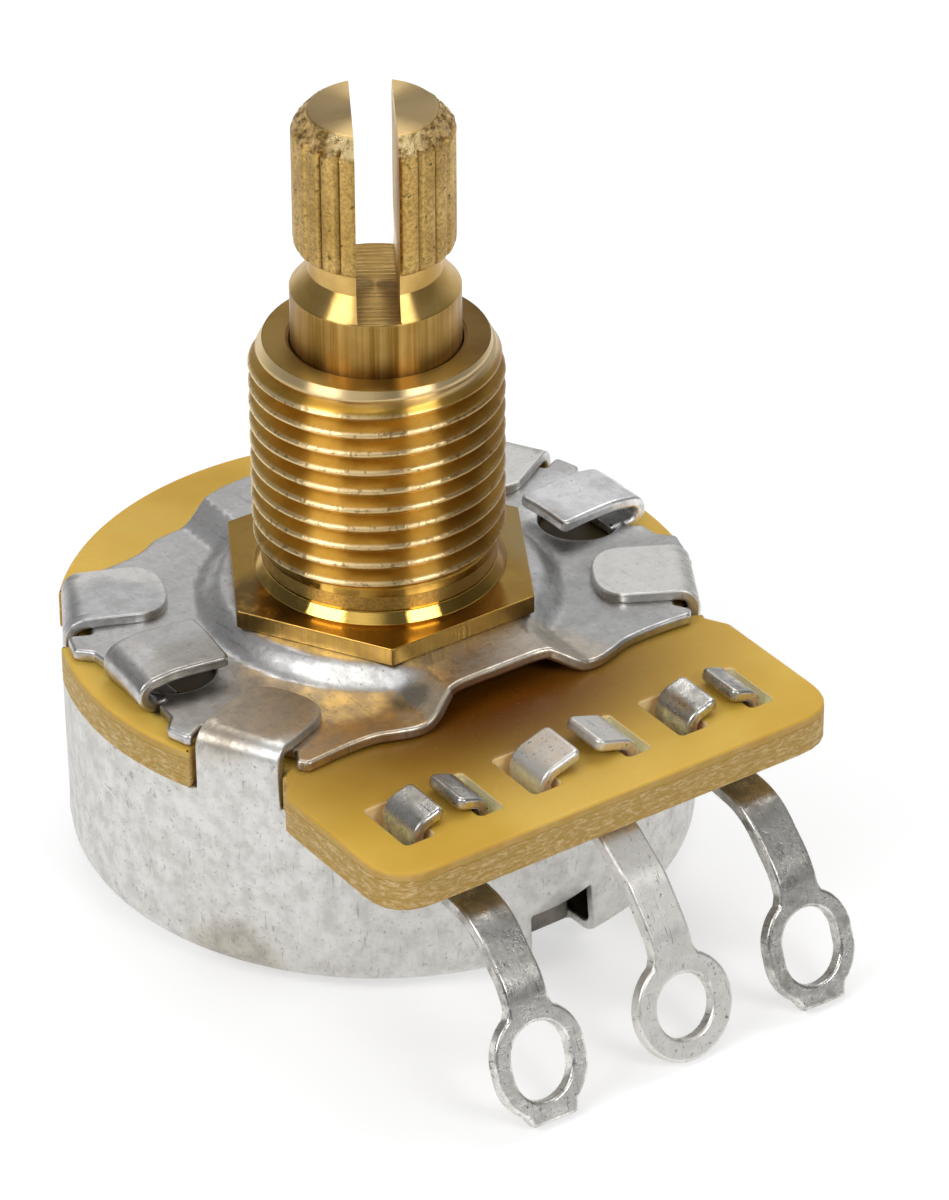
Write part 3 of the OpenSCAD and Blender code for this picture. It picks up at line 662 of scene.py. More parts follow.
# painted highlight: the left terminal's ring is lightened
RING_PAINTED_HIGHLIGHT = [((-6.1, -19.2, -10.2), 2.9, (0.95, 0.93, 0.88), 0.8)]
BRASS_THREAD = brass_thread()
BRASS_SHAFT = brass_shaft()
PLATE = grey_metal("plate_metal", (0.66, 0.65, 0.64), (0.47, 0.46, 0.45), (0.28, 0.42), 1.0, 0.5, 0.2,
                   PLATE_STAINS_AND_PAINTED_LIGHT)
CAN = grey_metal("can_metal", (0.74, 0.73, 0.70), (0.62, 0.605, 0.575), (0.36, 0.5), 0.6, 0.45, stains_and_painted_light=CAN_STAINS_AND_PAINTED_SHADE)
TERMINAL = grey_metal("terminal_metal", (0.74, 0.72, 0.68), (0.36, 0.35, 0.32), (0.2, 0.4), 1.4, 0.9,
                      stains_and_painted_light=RING_PAINTED_HIGHLIGHT)
TERMINAL_PALE = grey_metal("terminal_metal_pale", (0.84, 0.82, 0.78), (0.68, 0.66, 0.62), (0.34, 0.5), 0.8, 0.8)
BOARD = laminate()


def plain(name, color, rough, metal):
    """For the pieces sealed in the can"""
    m = Nodes(name)
    m.tone = m.mix(m.ramp(m.noise(900, 3), 0.3, 0.7), color, tuple(c * 0.8 for c in color))
    return m.finish(rough, metal, m.bump(m.noise(3000, 3), 0.000005, 0.5))


for node, args in {
    "carbon_track": ("carbon", (0.04, 0.04, 0.04), 0.6, 0.0),
    "end_pad_left": ("silver_ink", (0.7, 0.7, 0.7), 0.4, 1.0),
    "end_pad_right": ("silver_ink_b", (0.7, 0.7, 0.7), 0.4, 1.0),
    "collector_ring": ("contact_ink", (0.8, 0.55, 0.35), 0.35, 1.0),
    "spring_washer": ("washer_steel", (0.6, 0.6, 0.6), 0.3, 1.0),
    "retaining_ring": ("ring_steel", (0.5, 0.5, 0.5), 0.35, 1.0),
    "rotor": ("moulding", (0.05, 0.045, 0.04), 0.5, 0.0),
    "wiper": ("contact_metal", (0.8, 0.55, 0.35), 0.3, 1.0),
}.items():
    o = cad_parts[node]
    o.data.materials.clear()
    o.data.materials.append(plain(*args))

# Shaft: the turned body up to the slot's floor, and two prongs above it
TEETH = 24


def knurl(a):
    """0 on a crest, 1 at the bottom of a groove"""
    f = np.abs(((a * TEETH / (2 * math.pi)) % 1.0) - 0.5) * 2
    return np.clip((f - 0.86) / 0.14, 0, 1) * 0.45 + 0.55 * np.clip((f - 0.55) / 0.45, 0, 1) ** 2


def prong_rows():
    rows = [(3.175, FLOOR, 0), (3.165, 11.83, 0), (3.13, 11.87, 0), (2.56, 12.53, 0), (2.5, 12.62, 0),
            (2.5, 13.42, 0), (2.6, 13.5, 0), (2.8, 13.56, 0.4), (2.93, 13.66, 0.9), (2.985, 13.8, 1)]
    rows += [(3.0, z, 1) for z in np.linspace(13.95, 18.05, 20)]
    rows += [(3.0, 18.22, 1.1), (2.985, 18.3, 1.3), (2.93, 18.4, 1.5), (2.86, 18.5, 1.5),
             (2.78, 18.6, 1.2), (2.68, 18.7, 0.8), (2.59, 18.8, 0.4), (2.5, 18.9, 0.2), (2.4, 19.0, 0), (2.35, 19.04, 0), (2.3, 19.05, 0), (1.6, 19.05, 0),
             (0.9, 19.05, 0)]
    return rows


def prong(side):
    """One half of the split tip: its points and faces"""
    arc_n, flat_n = 96, 8
    n = arc_n + flat_n
    P, rows = [], prong_rows()
    for r, z, k in rows:
        half = math.asin(min(1, SLOT / 2 / max(r, SLOT / 2 + 0.02)))
        a = np.linspace(half, math.pi - half, arc_n)
        world = a + math.radians(SLOT_ANGLE) + (0 if side > 0 else math.pi)
        rr = r - 0.16 * k * knurl(world)
        if z > 18.2:
            bite = rough_edge(world, 14, z * 5)
            rr = rr + 0.13 * bite * min(1, (z - 18.2) / 0.15) * max(0, min(1, (19.02 - z) / 0.1))
        x, y = rr * np.cos(a), rr * np.sin(a)
        y[0] = y[-1] = SLOT / 2
        fx = np.linspace(x[-1], x[0], flat_n + 2)[1:-1]
        ring = np.column_stack([np.append(x, fx), np.append(y, np.full(flat_n, SLOT / 2))])
        ring = rot2(ring if side > 0 else -ring, SLOT_ANGLE)
        P.append(np.column_stack([ring, np.full(n, z)]))
    last = len(rows) - 1
    F = [face for k in range(last) for face in band(k, n)]
    return np.vstack(P), F + [[last * n + i for i in range(n)]]


def hard(P, F, angle=32):
    """Gives points and faces their own normals: smooth up to the angle, sharp beyond it"""
    me = bpy.data.meshes.new("work")
    me.from_pydata(P.tolist(), [], F)
    bm = bmesh.new()
    bm.from_mesh(me)
    bmesh.ops.remove_doubles(bm, verts=bm.verts, dist=2e-5)
    bmesh.ops.recalc_face_normals(bm, faces=bm.faces)
    sharp = [e for e in bm.edges if len(e.link_faces) == 2 and e.calc_face_angle(0) > math.radians(angle)]
    bmesh.ops.split_edges(bm, edges=sharp)
    bm.normal_update()
    P = np.array([v.co[:] for v in bm.verts])
    N = np.array([v.normal[:] for v in bm.verts])
    F = [[v.index for v in f.verts] for f in bm.faces]
    bm.free()
    bpy.data.meshes.remove(me)
    return P, N, F


shank = turned([(0.0, -4.25), (3.175, -4.25), (3.175, FLOOR), (0.0, FLOOR)], [0, 0.05, 0.05, 0], 192)
piece("shaft_turned", "turning_shaft", BRASS_SHAFT,
      merge(shank, hard(*prong(1)), hard(*prong(-1))), "shaft")

# Bushing: a thread cut as one helix, the relief, the flared foot and the hexagon
PITCH_Z, CREST, ROOT, RELIEF, TOP, RUN = 0.79375, 4.77, 4.3, 4.45, 9.71, 1.45


def thread_section():
    """One pitch of the thread, upwards from a crest, as (pitches, depth) pairs with depth 1 at the crest.
    The upper flank is worn round at its crest."""
    rows = [(0.0, 1.0), (0.03, 0.998), (0.06, 0.985), (0.09, 0.96), (0.125, 0.915), (0.165, 0.85)]
    rows += [(0.165 + 0.315 * k / 5, 0.85 - 0.815 * k / 5) for k in range(1, 6)]
    rows += [(0.49, 0.01), (0.5, 0.0), (0.51, 0.01), (0.525, 0.04)]
    rows += [(0.525 + 0.43 * k / 4, 0.04 + 0.925 * k / 4) for k in range(1, 5)]
    return rows + [(0.967, 0.985), (0.98, 1.0)]


def thread():
    """The threaded barrel as one grid: rows follow the helix, columns go round"""
    cols, first, bottom = 160, 8.873, 1.1
    facing = math.radians(236.2)
    a = np.arange(cols + 1) * 2 * math.pi / cols
    G = []
    for u, depth in [(k + v, d) for k in range(-10, 2) for v, d in thread_section()]:
        z = first + PITCH_Z * (u + (a - facing) / (2 * math.pi))
        r = ROOT + (CREST - ROOT) * depth
        if depth > 0.9:
            r = r + 0.012 * rough_edge(a, 22, u * 3)
        r = RELIEF + (r - RELIEF) * ease((z - RUN + 0.1) / 0.3)
        r = np.minimum(r, np.maximum(4.23 + (TOP - z) * 0.56, 4.23))
        G.append(np.column_stack([r * np.cos(a), r * np.sin(a), np.clip(z, bottom, TOP)]))
    G = np.array(G)
    N = grid_normals(G)
    N[:, 0] = N[:, -1] = (N[:, 0] + N[:, -1]) / 2
    # where its ends are clipped the grid has no area and so no normal
    N[np.abs(np.linalg.norm(N, axis=2) - 1) > 0.1] = (0, 0, 1)
    n = cols + 1
    F = []
    for k in range(len(G) - 1):
        for i in range(cols):
            z = G[[k, k, k + 1, k + 1], [i, i + 1, i + 1, i], 2]
            if z.max() - z.min() > 1e-6 and z.max() > bottom + 1e-4:
                F.append([k * n + i, k * n + i + 1, (k + 1) * n + i + 1, (k + 1) * n + i])
    return G.reshape(-1, 3), N.reshape(-1, 3), F


def bushing_turned():
    foot = turned([(4.86, -0.03), (4.77, -0.006), (4.73, 0.012), (4.44, 0.38), (4.44, 1.02), (RELIEF, 1.05),
                   (RELIEF, 1.12)], [0, 0.02, 0.05, 0.08, 0.02, 0.01, 0], 192, 6)
    top = turned([(4.23, TOP - 0.2), (4.23, TOP), (3.36, TOP), (3.25, TOP - 0.11), (3.25, 4.0)],
                 [0, 0.03, 0.02, 0, 0])
    under = turned([(3.25, 4.0), (3.25, -1.63), (4.6, -1.63), (4.7, -1.5), (4.7, -1.26), (4.2, -1.2),
                    (4.2, -0.72)], 0.02, 96, 2)
    return merge(foot, top, under)


def hexagon():
    """Sharp-edged nut form, worn a little at its corners"""
    thick, n = 0.73, 14
    corners = circle(0, 0, 11.13 / 2 / math.cos(math.pi / 6), 6)
    edge = []
    for a, b in zip(corners, np.roll(corners, -1, 0)):
        edge += [a + (b - a) * t / n for t in range(n)]
    loop = rounded(edge, [0 if k % n else 0.12 for k in range(6 * n)])
    return sheet(loop, [circle(0, 0, 4.6, 96)], at_level(0.0, thick), thick,
                 r=0.035, step=0.6, edge_step=0.4, seg=2)


piece("bushing_threaded", "housing", BRASS_THREAD,
      merge(thread(), bushing_turned(), hexagon()), "bushing")

# Front plate: a pressed sheet, with its height given by the boss and the tongue
TABS = [(-30, 0), (30, 0), (150, 8), (210, -7)]
TAB_W = 3.4


def plate_height(p):
    r = np.hypot(p[:, 0], p[:, 1])
    boss = ease((7.1 - r) / 1.15)
    x = np.abs(p[:, 0])
    tongue = 0.4 * ease((3.75 - x) / 1.6) + 0.6 * np.clip((3.65 - x) / 1.35, 0, 1)
    h = 1 - (1 - boss) * (1 - tongue)
    dish = 0.05 * np.sin(p[:, 0] * 0.9 + 0.4) * np.sin(p[:, 1] * 0.7 + 1.0) * ease((r - 7.2) / 1.5)
    return FLAT_Z + (BOSS_Z - FLAT_Z) * h + 0.6 * dish


FRONT = [(0, -7.8), (1.2, -7.8), (1.9, -7.85), (2.6, -8.1), (3.3, -8.42), (4.1, -8.5), (4.9, -8.3),
         (5.7, -8.05), (7, -8.0), (8.6, -8.1)]
BACK = [(0, 9.05), (1.2, 9.0), (2.2, 8.75), (3.2, 8.4), (4.1, 8.3), (5, 8.15), (5.8, 7.75), (7, 7.55), (9.0, 7.5)]


def tab_point(tab, x, y):
    """A point given in a tab's own plan frame: x out from the axis, y to its left"""
    return rot2([(x, y)], tab)[0]


def plate_outline():
    half = TAB_W / 2 + 0.2
    low = [(*tab_point(-30, 11.0, -half), 0.1), (*tab_point(-30, 11.0, half), 0.1),
           (*tab_point(-30, 11.9, half + 0.05), 0.25), (11.62, -3.2, 0.25), (11.1, -2.65, 0.3),
           (11.0, -1.75, 0.1), (10.6, -1.56, 0.1)]
    pts = [(*q, 0) for q in curve(FRONT, 0.25)] + [(8.93, -7.75, 0.2)] + low
    pts += [(x, -y, r) for x, y, r in low[::-1]] + [(9.35, 7.5, 0.2)]
    pts += [(*q, 0) for q in curve(BACK, 0.25)[::-1]]
    # the right half runs from front to back, and the left half comes back to the front
    return cornered(pts + [(-x, y, r) for x, y, r in pts[::-1][1:-1]])


plate = sheet(plate_outline(), [circle(0, 0, 4.2), circle(-9.3, 0, 1.59), circle(9.3, 0, 1.59)],
              on_height(plate_height, PLATE_T), PLATE_T, r=0.16, step=0.26, edge_step=0.16, seg=4)


def bender(steps):
    """Follows straight runs and bends in a plane: each step is ('run', length) or ('bend', radius, degrees),
    where a positive angle turns left. Gives position and left normal for each distance."""
    segs, pos, ang, s = [], np.zeros(2), 0.0, 0.0

    def ahead(a):
        return np.array([np.cos(a), np.sin(a)]).T

    def left(a):
        return np.array([-np.sin(a), np.cos(a)]).T

    for kind, size, *degrees in steps:
        turn = math.radians(degrees[0]) if kind == "bend" else 0.0
        side = math.copysign(size, turn)
        segs.append((s, side, pos, ang, turn))
        if turn:
            pos = pos + left(ang) * side - left(ang + turn) * side
        else:
            pos = pos + ahead(ang) * size
        ang += turn
        s += abs(turn) * size if turn else size

    def follow(v):
        P, N = np.zeros((2, len(v), 2))
        for k, (start, side, p0, a0, turn) in enumerate(segs):
            m = (v >= start - 1e-9) if k else np.ones(len(v), bool)
            u = v[m] - start
            if turn:
                bent = np.minimum(u, turn * side)
                a = a0 + bent / side
                P[m] = p0 + left(a0) * side - left(a) * side + ahead(a) * (u - bent)[:, None]
                N[m] = left(a)
            else:
                P[m] = p0 + ahead(a0) * u[:, None]
                N[m] = left(a0)
        return P, N
    follow.length = s
    return follow


def in_frame(origin, along, up, across, path, wobble=None):
    """Places (across, distance) points of a strip: path runs in the plane of along and up"""
    def place(p):
        q, n = path(p[:, 1])
        P = np.array(origin) + np.outer(p[:, 0], across) + np.outer(q[:, 0], along) + np.outer(q[:, 1], up)
        N = np.outer(n[:, 0], along) + np.outer(n[:, 1], up)
        return wobble(p, P, N) if wobble else (P, N)
    return place


def lug(side, skew, tip, w, shift):
    """The folded lug: out along the plate, round the fold and back over the hole"""
    r = 0.25 + PLATE_T / 2
    start, pivot = 9.9, side * 11.0
    out = 11.3 - r - start
    path = bender([("run", out), ("bend", r, 172), ("run", 0.6), ("bend", 3.0, 8), ("run", 2.6)])
    total = path.length - 2.6 + tip
    shape = box_loop(0, total / 2, w, total, [0.05, 0.05, 0.28, 0.28])

    def wobble(p, P, N):
        a = math.radians(skew) * ease(p[:, 1] - out)
        x, y = P[:, 0] - pivot, P[:, 1]
        bow = 0.03 * np.sin(p[:, 0] * 2.1 + p[:, 1] * 1.3)
        return np.column_stack([pivot + x * np.cos(a) - y * np.sin(a), x * np.sin(a) + y * np.cos(a),
                                P[:, 2] + bow]), N
    place = in_frame((side * start, shift, BOARD_Z + PLATE_T / 2), (side, 0, 0), (0, 0, 1), (0, -side, 0),
                     path, wobble)
    return sheet(shape, [], place, PLATE_T, r=0.15, step=0.25, edge_step=0.15, seg=3)


piece("plate_pressed", "housing", PLATE,
      merge(plate, lug(-1, -6.5, 2.1, 3.1, 0.0), lug(1, 3.0, 2.4, 2.75, 0.1)), "front_plate")

# Board
def board_outline():
    half = TAB_W / 2 + 0.2

    def notch(tab):
        return [(*tab_point(tab, x, y), r) for x, y, r in (
            (12.13, -half, 0.1), (11.46, -half, 0.15), (11.46, half, 0.15), (12.13, half, 0.1))]
    pts = [(-10.15, -15.65, 1.9), (9.95, -15.65, 1.9), (9.95, -8.8, 0.6), (9.42, -7.9, 0.3)]
    for tab, a, b, n in ((-30, -20.6, 20.6, 24), (30, 39.5, 140.5, 60), (150, 159.5, 200.5, 24)):
        pts += notch(tab) + arc(a, b, 12.29, n)
    return cornered(pts + notch(210) + [(-9.42, -7.9, 0.3), (-10.15, -8.8, 0.6)])


SPREAD = {-1: 1.45, 0: 1.95, 1: 1.45}
SLOT_BOXES = []
for k in (-1, 0, 1):
    SLOT_BOXES.append((k * PITCH - SPREAD[k] - 0.15, 1.25, -1))
    SLOT_BOXES.append((k * PITCH + SPREAD[k] + 0.05, 1.05, 1))


def slot_slope(x, w, side):
    """The broken outer wall of a slot, sloping down under the prong"""
    out, half = x + side * (w / 2 + 0.02), 1.33
    P = np.array([(out - side * back, -ROW_Y + y, BOARD_Z - down) for back, down, y in (
        (0, 0.1, -half), (0, 0.1, half), (0.16, 0.3, half), (0.16, 0.3, -half), (0.42, 1.2, half),
        (0.42, 1.2, -half))])
    up = np.array([-side * 0.9, 0, 0.44])
    F = [[0, 1, 2, 3], [3, 2, 4, 5]]
    return P, np.tile(up, (6, 1)), [f if side > 0 else f[::-1] for f in F]


slots = [box_loop(x, -ROW_Y, w, 2.7, 0.2) for x, w, side in SLOT_BOXES]
board = sheet(board_outline(), [circle(0, 0, 5.2, 72)] + slots, at_level(BOARD_Z, BOARD_T), BOARD_T,
              r=0.14, step=0.7, edge_step=0.25, seg=3)
board = merge(board, *[slot_slope(*b) for b in SLOT_BOXES])
piece("board_laminate", "housing", BOARD, board, "terminal_board")

# Can: one drawn cup, laid out as a disc whose radius is the distance along its section
CAN_MID = CAN_R - CAN_T / 2
FIL = 0.85 - CAN_T / 2
FLAT_RHO = CAN_R - 0.85
WALL_RHO = FLAT_RHO + FIL * math.pi / 2
WALL_H0 = BASE_Z + 0.85
RIM_RHO = WALL_RHO + (RIM_Z - WALL_H0)
BEND = 0.35 + CAN_T / 2
BEND_Z = FLAT_Z - 0.35
BEND_RHO = WALL_RHO + (BEND_Z - WALL_H0)


def can_place(p):
    rho = np.hypot(p[:, 0], p[:, 1])
    th = np.arctan2(p[:, 1], p[:, 0])
    er = np.column_stack([np.cos(th), np.sin(th), np.zeros(len(p))])
    up = np.array([0, 0, 1.0])
    P = np.zeros((len(p), 3))
    N = np.zeros((len(p), 3))
    base = BASE_Z + CAN_T / 2
    m = rho <= FLAT_RHO
    P[m] = er[m] * rho[m][:, None] + up * base
    N[m] = -up
    m = (rho > FLAT_RHO) & (rho <= WALL_RHO)
    a = (rho[m] - FLAT_RHO) / FIL
    P[m] = er[m] * (FLAT_RHO + FIL * np.sin(a))[:, None] + up * (base + FIL * (1 - np.cos(a)))[:, None]
    N[m] = er[m] * np.sin(a)[:, None] - up * np.cos(a)[:, None]
    m = rho > WALL_RHO
    z = WALL_H0 + rho - WALL_RHO
    dent = 0.03 * np.sin(th * 3 + 0.5) * np.sin((z + 8) * 0.5)
    P[m] = er[m] * (CAN_MID + dent[m])[:, None] + up * z[m][:, None]
    N[m] = er[m]
    for tab, skew in TABS:
        t0 = math.radians(tab)
        d = (th - t0 + math.pi) % (2 * math.pi) - math.pi
        m = (rho > RIM_RHO - 1.5) & (np.abs(d) * CAN_MID < TAB_W / 2 + 0.4)
        if not m.any():
            continue
        e = np.array([math.cos(t0), math.sin(t0), 0])
        f = np.array([-math.sin(t0), math.cos(t0), 0])
        q = d[m] * CAN_MID
        s = rho[m] - BEND_RHO
        w = ease((rho[m] - (RIM_RHO - 0.6)) / (BEND_RHO - RIM_RHO + 0.6))
        rad = CAN_MID * np.cos(d[m]) * (1 - w) + (CAN_MID - 0.06) * w
        tan = CAN_MID * np.sin(d[m]) * (1 - w) + q * w
        nx = np.cos(d[m]) * (1 - w) + w
        ny = np.sin(d[m]) * (1 - w)
        zz = np.minimum(WALL_H0 + rho[m] - WALL_RHO, BEND_Z)
        a = np.clip(s / BEND, 0, math.pi / 2 + 0.02)
        over = np.maximum(s - BEND * (math.pi / 2 + 0.02), 0)
        back = BEND * (1 - np.cos(a)) + over * np.sin(a)
        lift = BEND * np.sin(a) + over * np.cos(a)
        g = math.radians(skew) * ease(s / 1.5)
        P[m] = (e * (rad - back * np.cos(g) - q * np.sin(g))[:, None]
                + f * (tan * np.cos(g) - back * np.sin(g))[:, None] + up * (zz + lift)[:, None])
        N[m] = (e * (nx * np.cos(a) * np.cos(g))[:, None]
                + f * ((ny + np.sin(g)) * np.cos(a))[:, None] + up * np.sin(a)[:, None])
    N /= np.linalg.norm(N, axis=1)[:, None]
    return P, N


def can_outline():
    """The rim in the laid-out plane, with the tabs standing out; the terminals' side is lower"""
    low, half = RIM_RHO - 1.1, TAB_W / 2
    tip = BEND_RHO + BEND * math.pi / 2 + (CAN_MID - BEND) - 8.1
    edge = math.degrees((half + 0.02) / CAN_MID) + 1

    def tabs(tab):
        # two straight sides and a blunt round tip
        side = [(half, RIM_RHO, 0.12)] + [(half, rho, 0) for rho in np.arange(RIM_RHO + 0.3, tip - 1.5, 0.3)]
        out = [(-q, rho, r) for q, rho, r in side]
        for k in range(15):
            sa, ca = math.sin(math.pi * (k / 14 - 0.5)), math.cos(math.pi * (k / 14 - 0.5))
            out.append((half * math.copysign(abs(sa) ** 0.8, sa), tip - 1.35 + 1.35 * abs(ca) ** 0.8, 0))
        turns = [(math.radians(tab) + q / CAN_MID, rho, r) for q, rho, r in out + side[::-1]]
        return [(rho * math.cos(t), rho * math.sin(t), r) for t, rho, r in turns]
    pts = []
    for a, b, n in ((-30, 30, 30), (30, 150, 70), (150, 210, 30)):
        pts += tabs(a) + arc(a + edge, b - edge, RIM_RHO, n)
    pts += tabs(210) + arc(210 + edge, 221, RIM_RHO, 3)
    return cornered(pts + arc(223, 317, low, 60) + arc(319, 330 - edge, RIM_RHO, 3))


def polar_fill():
    """Points over the laid-out cup, closest where it bends"""
    top = BEND_RHO + BEND * math.pi / 2
    out = []
    for rho in np.concatenate([np.arange(1, FLAT_RHO - 0.3, 1.2), np.linspace(FLAT_RHO, WALL_RHO, 6),
                               np.linspace(WALL_RHO + 0.35, RIM_RHO - 0.3, 16),
                               np.linspace(RIM_RHO - 0.05, BEND_RHO, 6),
                               np.linspace(BEND_RHO + 0.12, top, 7), np.arange(top + 0.3, 27, 0.35)]):
        n = max(12, int(2 * math.pi * min(rho, CAN_MID) / 0.42)) if rho < WALL_RHO else 192
        a = np.arange(n) * 2 * math.pi / n + (0.5 * math.pi / n if int(rho * 3) % 2 else 0)
        out.append(np.column_stack([rho * np.cos(a), rho * np.sin(a)]))
    return np.vstack(out)


def notch_loop():
    """The window at the bottom of the wall, in the laid-out plane"""
    top = WALL_RHO + (-8.95 - WALL_H0)
    out = []
    for x, rho in ((-1.3, 10.45), (1.6, 10.45), (1.25, top + 0.3), (-1.45, top - 0.1)):
        t = math.radians(-90) + x / CAN_MID
        out.append((rho * math.cos(t), rho * math.sin(t)))
    return rounded(out, 0.2)


can = sheet(can_outline(), [notch_loop()], can_place, CAN_T,
            r=0.12, step=0.42, edge_step=0.22, seg=3, fill=polar_fill())


def stop_place(p):
    """The bent-in stop of the rotor stands upright inside the window"""
    y = np.full(len(p), -10.6 + CAN_T / 2)
    return np.column_stack([p[:, 0], y, p[:, 1]]), np.tile([0.0, -1.0, 0.0], (len(p), 1))


stop = sheet(box_loop(0, BASE_Z + 1.34, 2.4, 2.2, 0.15), [], stop_place, CAN_T,
             r=0.1, step=0.5, edge_step=0.3, seg=2)
piece("can_drawn", "housing", CAN, merge(can, stop), "can")


# Terminals
LEG_T = 0.58
OUTER_LEG = [("run", 0.2), ("bend", 0.9, -40), ("run", 0.56), ("bend", 0.9, 36), ("run", 1.1), ("bend", 2.6, -24),
             ("bend", 2.9, -15), ("run", 1.1), ("bend", 2.8, -25)]
MIDDLE_LEG = [("run", 2.34), ("bend", 1.9, -38), ("run", 1.0), ("bend", 2.5, -19), ("run", 1.62), ("bend", 2.5, -12)]


def ring_outline(start, neck, wall, stretch, nub):
    """Leg and ring in the strip's own plane, from the inner end outwards"""
    hw, hole = 0.875, 1.225
    outer = hole + wall
    c1 = start + neck + hole
    c2 = c1 + stretch
    join = math.asin(hw / outer)
    arms = c1 - outer * math.cos(join) - 0.25
    right = [(outer * math.sin(t), c1 - outer * math.cos(t)) for t in np.linspace(join + 0.08, math.pi / 2, 12)]
    right += [(outer * math.sin(t), c2 - outer * math.cos(t)) for t in np.linspace(math.pi / 2, math.pi, 16)]
    left = [(-x, y) for x, y in right[::-1]]
    if nub:
        # the sheared end where the strip was parted from its neighbour
        right = [q for q in right if q[0] > 0.98 or q[1] < c2]
        left = [q for q in left if q[0] < -0.98 or q[1] < c2]
        right += [(1.0, c2 + outer + 0.9 * nub), (0.9, c2 + outer + 1.4 * nub)]
        left = [(-0.84, c2 + outer + nub), (-0.95, c2 + outer - 0.05)] + left
    pts = [(-hw, 0), (hw, 0), (hw, arms)] + right + left + [(-hw, arms)]
    hole_pts = [(hole * math.sin(t), c1 - hole * math.cos(t)) for t in np.linspace(-math.pi / 2, math.pi / 2, 20)]
    hole_pts += [(hole * math.sin(t), c2 - hole * math.cos(t)) for t in np.linspace(math.pi / 2, 1.5 * math.pi, 20)]
    return np.array(pts), np.array(hole_pts)


def leg(x, steps, neck, wall, stretch, nub, drift):
    path = bender(steps + [("run", 9)])
    shape, hole = ring_outline(path.length - 9, neck, wall, stretch, nub)

    def aside(p, P, N):
        return P + np.outer(ease((p[:, 1] - 3) / 5), (drift, 0, 0)), N
    place = in_frame((x, -12.0, RIM_Z - 0.05 - LEG_T / 2), (0, -1, 0), (0, 0, 1), (1, 0, 0), path, aside)
    return sheet(shape, [hole], place, LEG_T, r=0.14, step=0.3, edge_step=0.13, seg=3)


def prong_strip(x, side, spread, reach):
    """Comes up through the slot and leans over the board"""
    rise = BOARD_Z - (RIM_Z - 0.05) - 0.3
    path = bender([("run", rise + TERM_T), ("bend", 0.35 + TERM_T / 2, -72), ("run", 3)])
    total = path.length - 3 + reach
    shape = box_loop(0, total / 2, 2.1, total, [0, 0, 0.3, 0.3])
    place = in_frame((x + side * spread, -ROW_Y, RIM_Z - 0.05 - TERM_T), (0, 0, 1), (side, 0, 0), (0, 1, 0), path)
    return sheet(shape, [], place, TERM_T, r=0.16, step=0.25, edge_step=0.16, seg=3)


def seat(x, spread):
    """The flat base that carries both prongs under the board"""
    return sheet(box_loop(x, -ROW_Y, 2 * spread + 0.4, 2.4, 0.1), [], at_level(RIM_Z - 0.05, TERM_T), TERM_T,
                 r=0.1, step=0.6, edge_step=0.4, seg=2)


for name, x, steps, neck, wall, stretch, nub, lean, mat in (
        ("terminal_left", -PITCH, OUTER_LEG, 0.86, 0.7, 0.5, 0.1, (0.75, 0.75), TERMINAL),
        ("terminal_middle", 0.0, MIDDLE_LEG, 1.26, 0.86, 0.0, 0, (1.2, 1.25), TERMINAL_PALE),
        ("terminal_right", PITCH, OUTER_LEG, 0.86, 0.7, 0.5, 0.1, (0.75, 0.65), TERMINAL)):
    spread = 1.95 if x == 0 else 1.45
    group = merge(leg(x, steps, neck, wall, stretch, nub, 0.3 if x == 0 else 0.0), seat(x, spread),
                  prong_strip(x, -1, spread, lean[0]), prong_strip(x, 1, spread, lean[1]))
    piece(name + "_formed", "housing", mat, group, name)

# Stage
floor_z = min(BASE_Z, -11.73) - 0.01
bpy.ops.mesh.primitive_plane_add(size=6, location=(0, 0, floor_z * MM))
floor = bpy.context.object
floor.name = "floor"
m = Nodes("floor_white")
lp = m.add("ShaderNodeLightPath")
camera_ray = lp.outputs["Is Camera Ray"]
seen = m.math("MAXIMUM", camera_ray, lp.outputs["Is Glossy Ray"])
seen = m.math("MAXIMUM", seen, lp.outputs["Is Transmission Ray"])
dif = m.add("ShaderNodeBsdfDiffuse")
dif.inputs[0].default_value = (0.6, 0.6, 0.6, 1)
emi = m.add("ShaderNodeEmission")
m.put(emi.inputs["Strength"], m.plus(m.times(seen, 0.46), m.times(camera_ray, 0.05)))
add = m.add("ShaderNodeAddShader")
m.tree.links.new(dif.outputs[0], add.inputs[0])
m.tree.links.new(emi.outputs[0], add.inputs[1])
m.tree.links.new(add.outputs[0], m.out.inputs[0])
floor.data.materials.append(m.mat)

# Where the camera of the photograph stands, from the fit
AZ, EL, ROLL = math.radians(-34.926), math.radians(32.161), math.radians(-0.251)
TOWARD = Vector((math.sin(AZ), -math.cos(AZ), 0))
RIGHT = Vector((math.cos(AZ), math.sin(AZ), 0))
UP = Vector((0, 0, 1))


def heading(side, height):
    """Unit vector to a place in the room: degrees to the right of the camera, and degrees above the table"""
    a, e = math.radians(side), math.radians(height)
    return (TOWARD * math.cos(a) + RIGHT * math.sin(a)) * math.cos(e) + UP * math.sin(e)


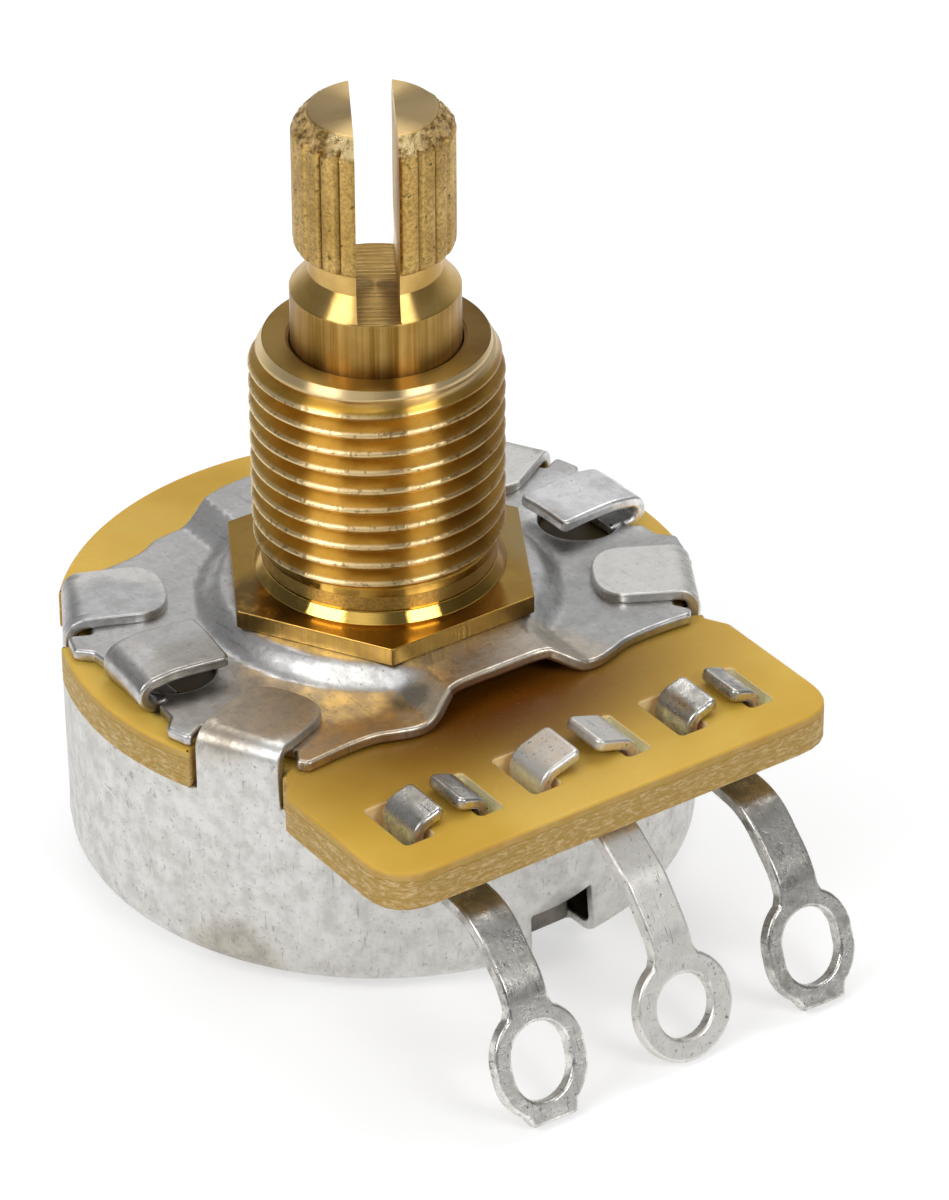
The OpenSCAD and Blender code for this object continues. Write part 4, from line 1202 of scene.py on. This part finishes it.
world = bpy.data.worlds.new("studio")
bpy.context.scene.world = world
world.use_nodes = True
tree = world.node_tree
bg = tree.nodes["Background"]
direction = tree.nodes.new("ShaderNodeTexCoord").outputs["Generated"]
level = None
for side, height, inner, outer, gain in ((180, 25, 20, 75, 0.22), (150, 22, 8, 40, 0.25), (-24, 58, 9, 24, 1.4),
                                         (100, 68, 6, 26, 0.3), (-100, 68, 6, 26, 0.35)):
    dot = tree.nodes.new("ShaderNodeVectorMath")
    dot.operation = "DOT_PRODUCT"
    tree.links.new(direction, dot.inputs[0])
    dot.inputs[1].default_value = heading(side, height)
    lobe = tree.nodes.new("ShaderNodeMapRange")
    lobe.interpolation_type = "SMOOTHSTEP"
    tree.links.new(dot.outputs["Value"], lobe.inputs["Value"])
    lobe.inputs["From Min"].default_value = math.cos(math.radians(outer))
    lobe.inputs["From Max"].default_value = math.cos(math.radians(inner))
    lobe.inputs["To Min"].default_value = 0.0 if level else 0.14
    lobe.inputs["To Max"].default_value = gain + (0.0 if level else 0.14)
    if level:
        plus = tree.nodes.new("ShaderNodeMath")
        tree.links.new(level, plus.inputs[0])
        tree.links.new(lobe.outputs["Result"], plus.inputs[1])
        level = plus.outputs[0]
    else:
        level = lobe.outputs["Result"]
tree.links.new(level, bg.inputs["Strength"])
bg.inputs["Color"].default_value = (0.98, 0.985, 1.0, 1)


def softbox(name, side, height, distance, size, radiance, color=(1, 1, 1)):
    data = bpy.data.lights.new(name, "AREA")
    data.shape = "RECTANGLE"
    data.size, data.size_y = size
    data.energy = radiance * math.pi * size[0] * size[1]
    data.color = color
    ob = bpy.data.objects.new(name, data)
    bpy.context.scene.collection.objects.link(ob)
    z = heading(side, height)
    x = UP.cross(z).normalized()
    y = z.cross(x)
    ob.matrix_world = Matrix.Translation(z * distance) @ Matrix((x, y, z)).transposed().to_4x4()


softbox("soft_left", -54, 37, 0.8, (0.39, 0.3), 6.2)
softbox("soft_right", 45, 37, 0.8, (0.33, 0.3), 6.0)
softbox("key_back", 172, 62, 0.8, (0.6, 0.36), 2.8)

# Camera
back = Vector((math.sin(AZ) * math.cos(EL), -math.cos(AZ) * math.cos(EL), math.sin(EL)))
right = RIGHT * math.cos(ROLL) + back.cross(RIGHT) * math.sin(ROLL)
up = back.cross(right)
cam_data = bpy.data.cameras.new("camera")
cam_data.lens = 170.95
cam_data.sensor_width = 36
cam_data.sensor_fit = "AUTO"
cam_data.clip_start = 0.01
cam_data.clip_end = 20
cam = bpy.data.objects.new("camera", cam_data)
bpy.context.scene.collection.objects.link(cam)
stand = Vector((-101.729, -151.931, 113.067)) * MM
cam.matrix_world = Matrix.Translation(stand) @ Matrix((right, up, back)).transposed().to_4x4()
bpy.context.scene.camera = cam

bpy.context.scene.view_settings.view_transform = "Standard"

bpy.context.view_layer.update()
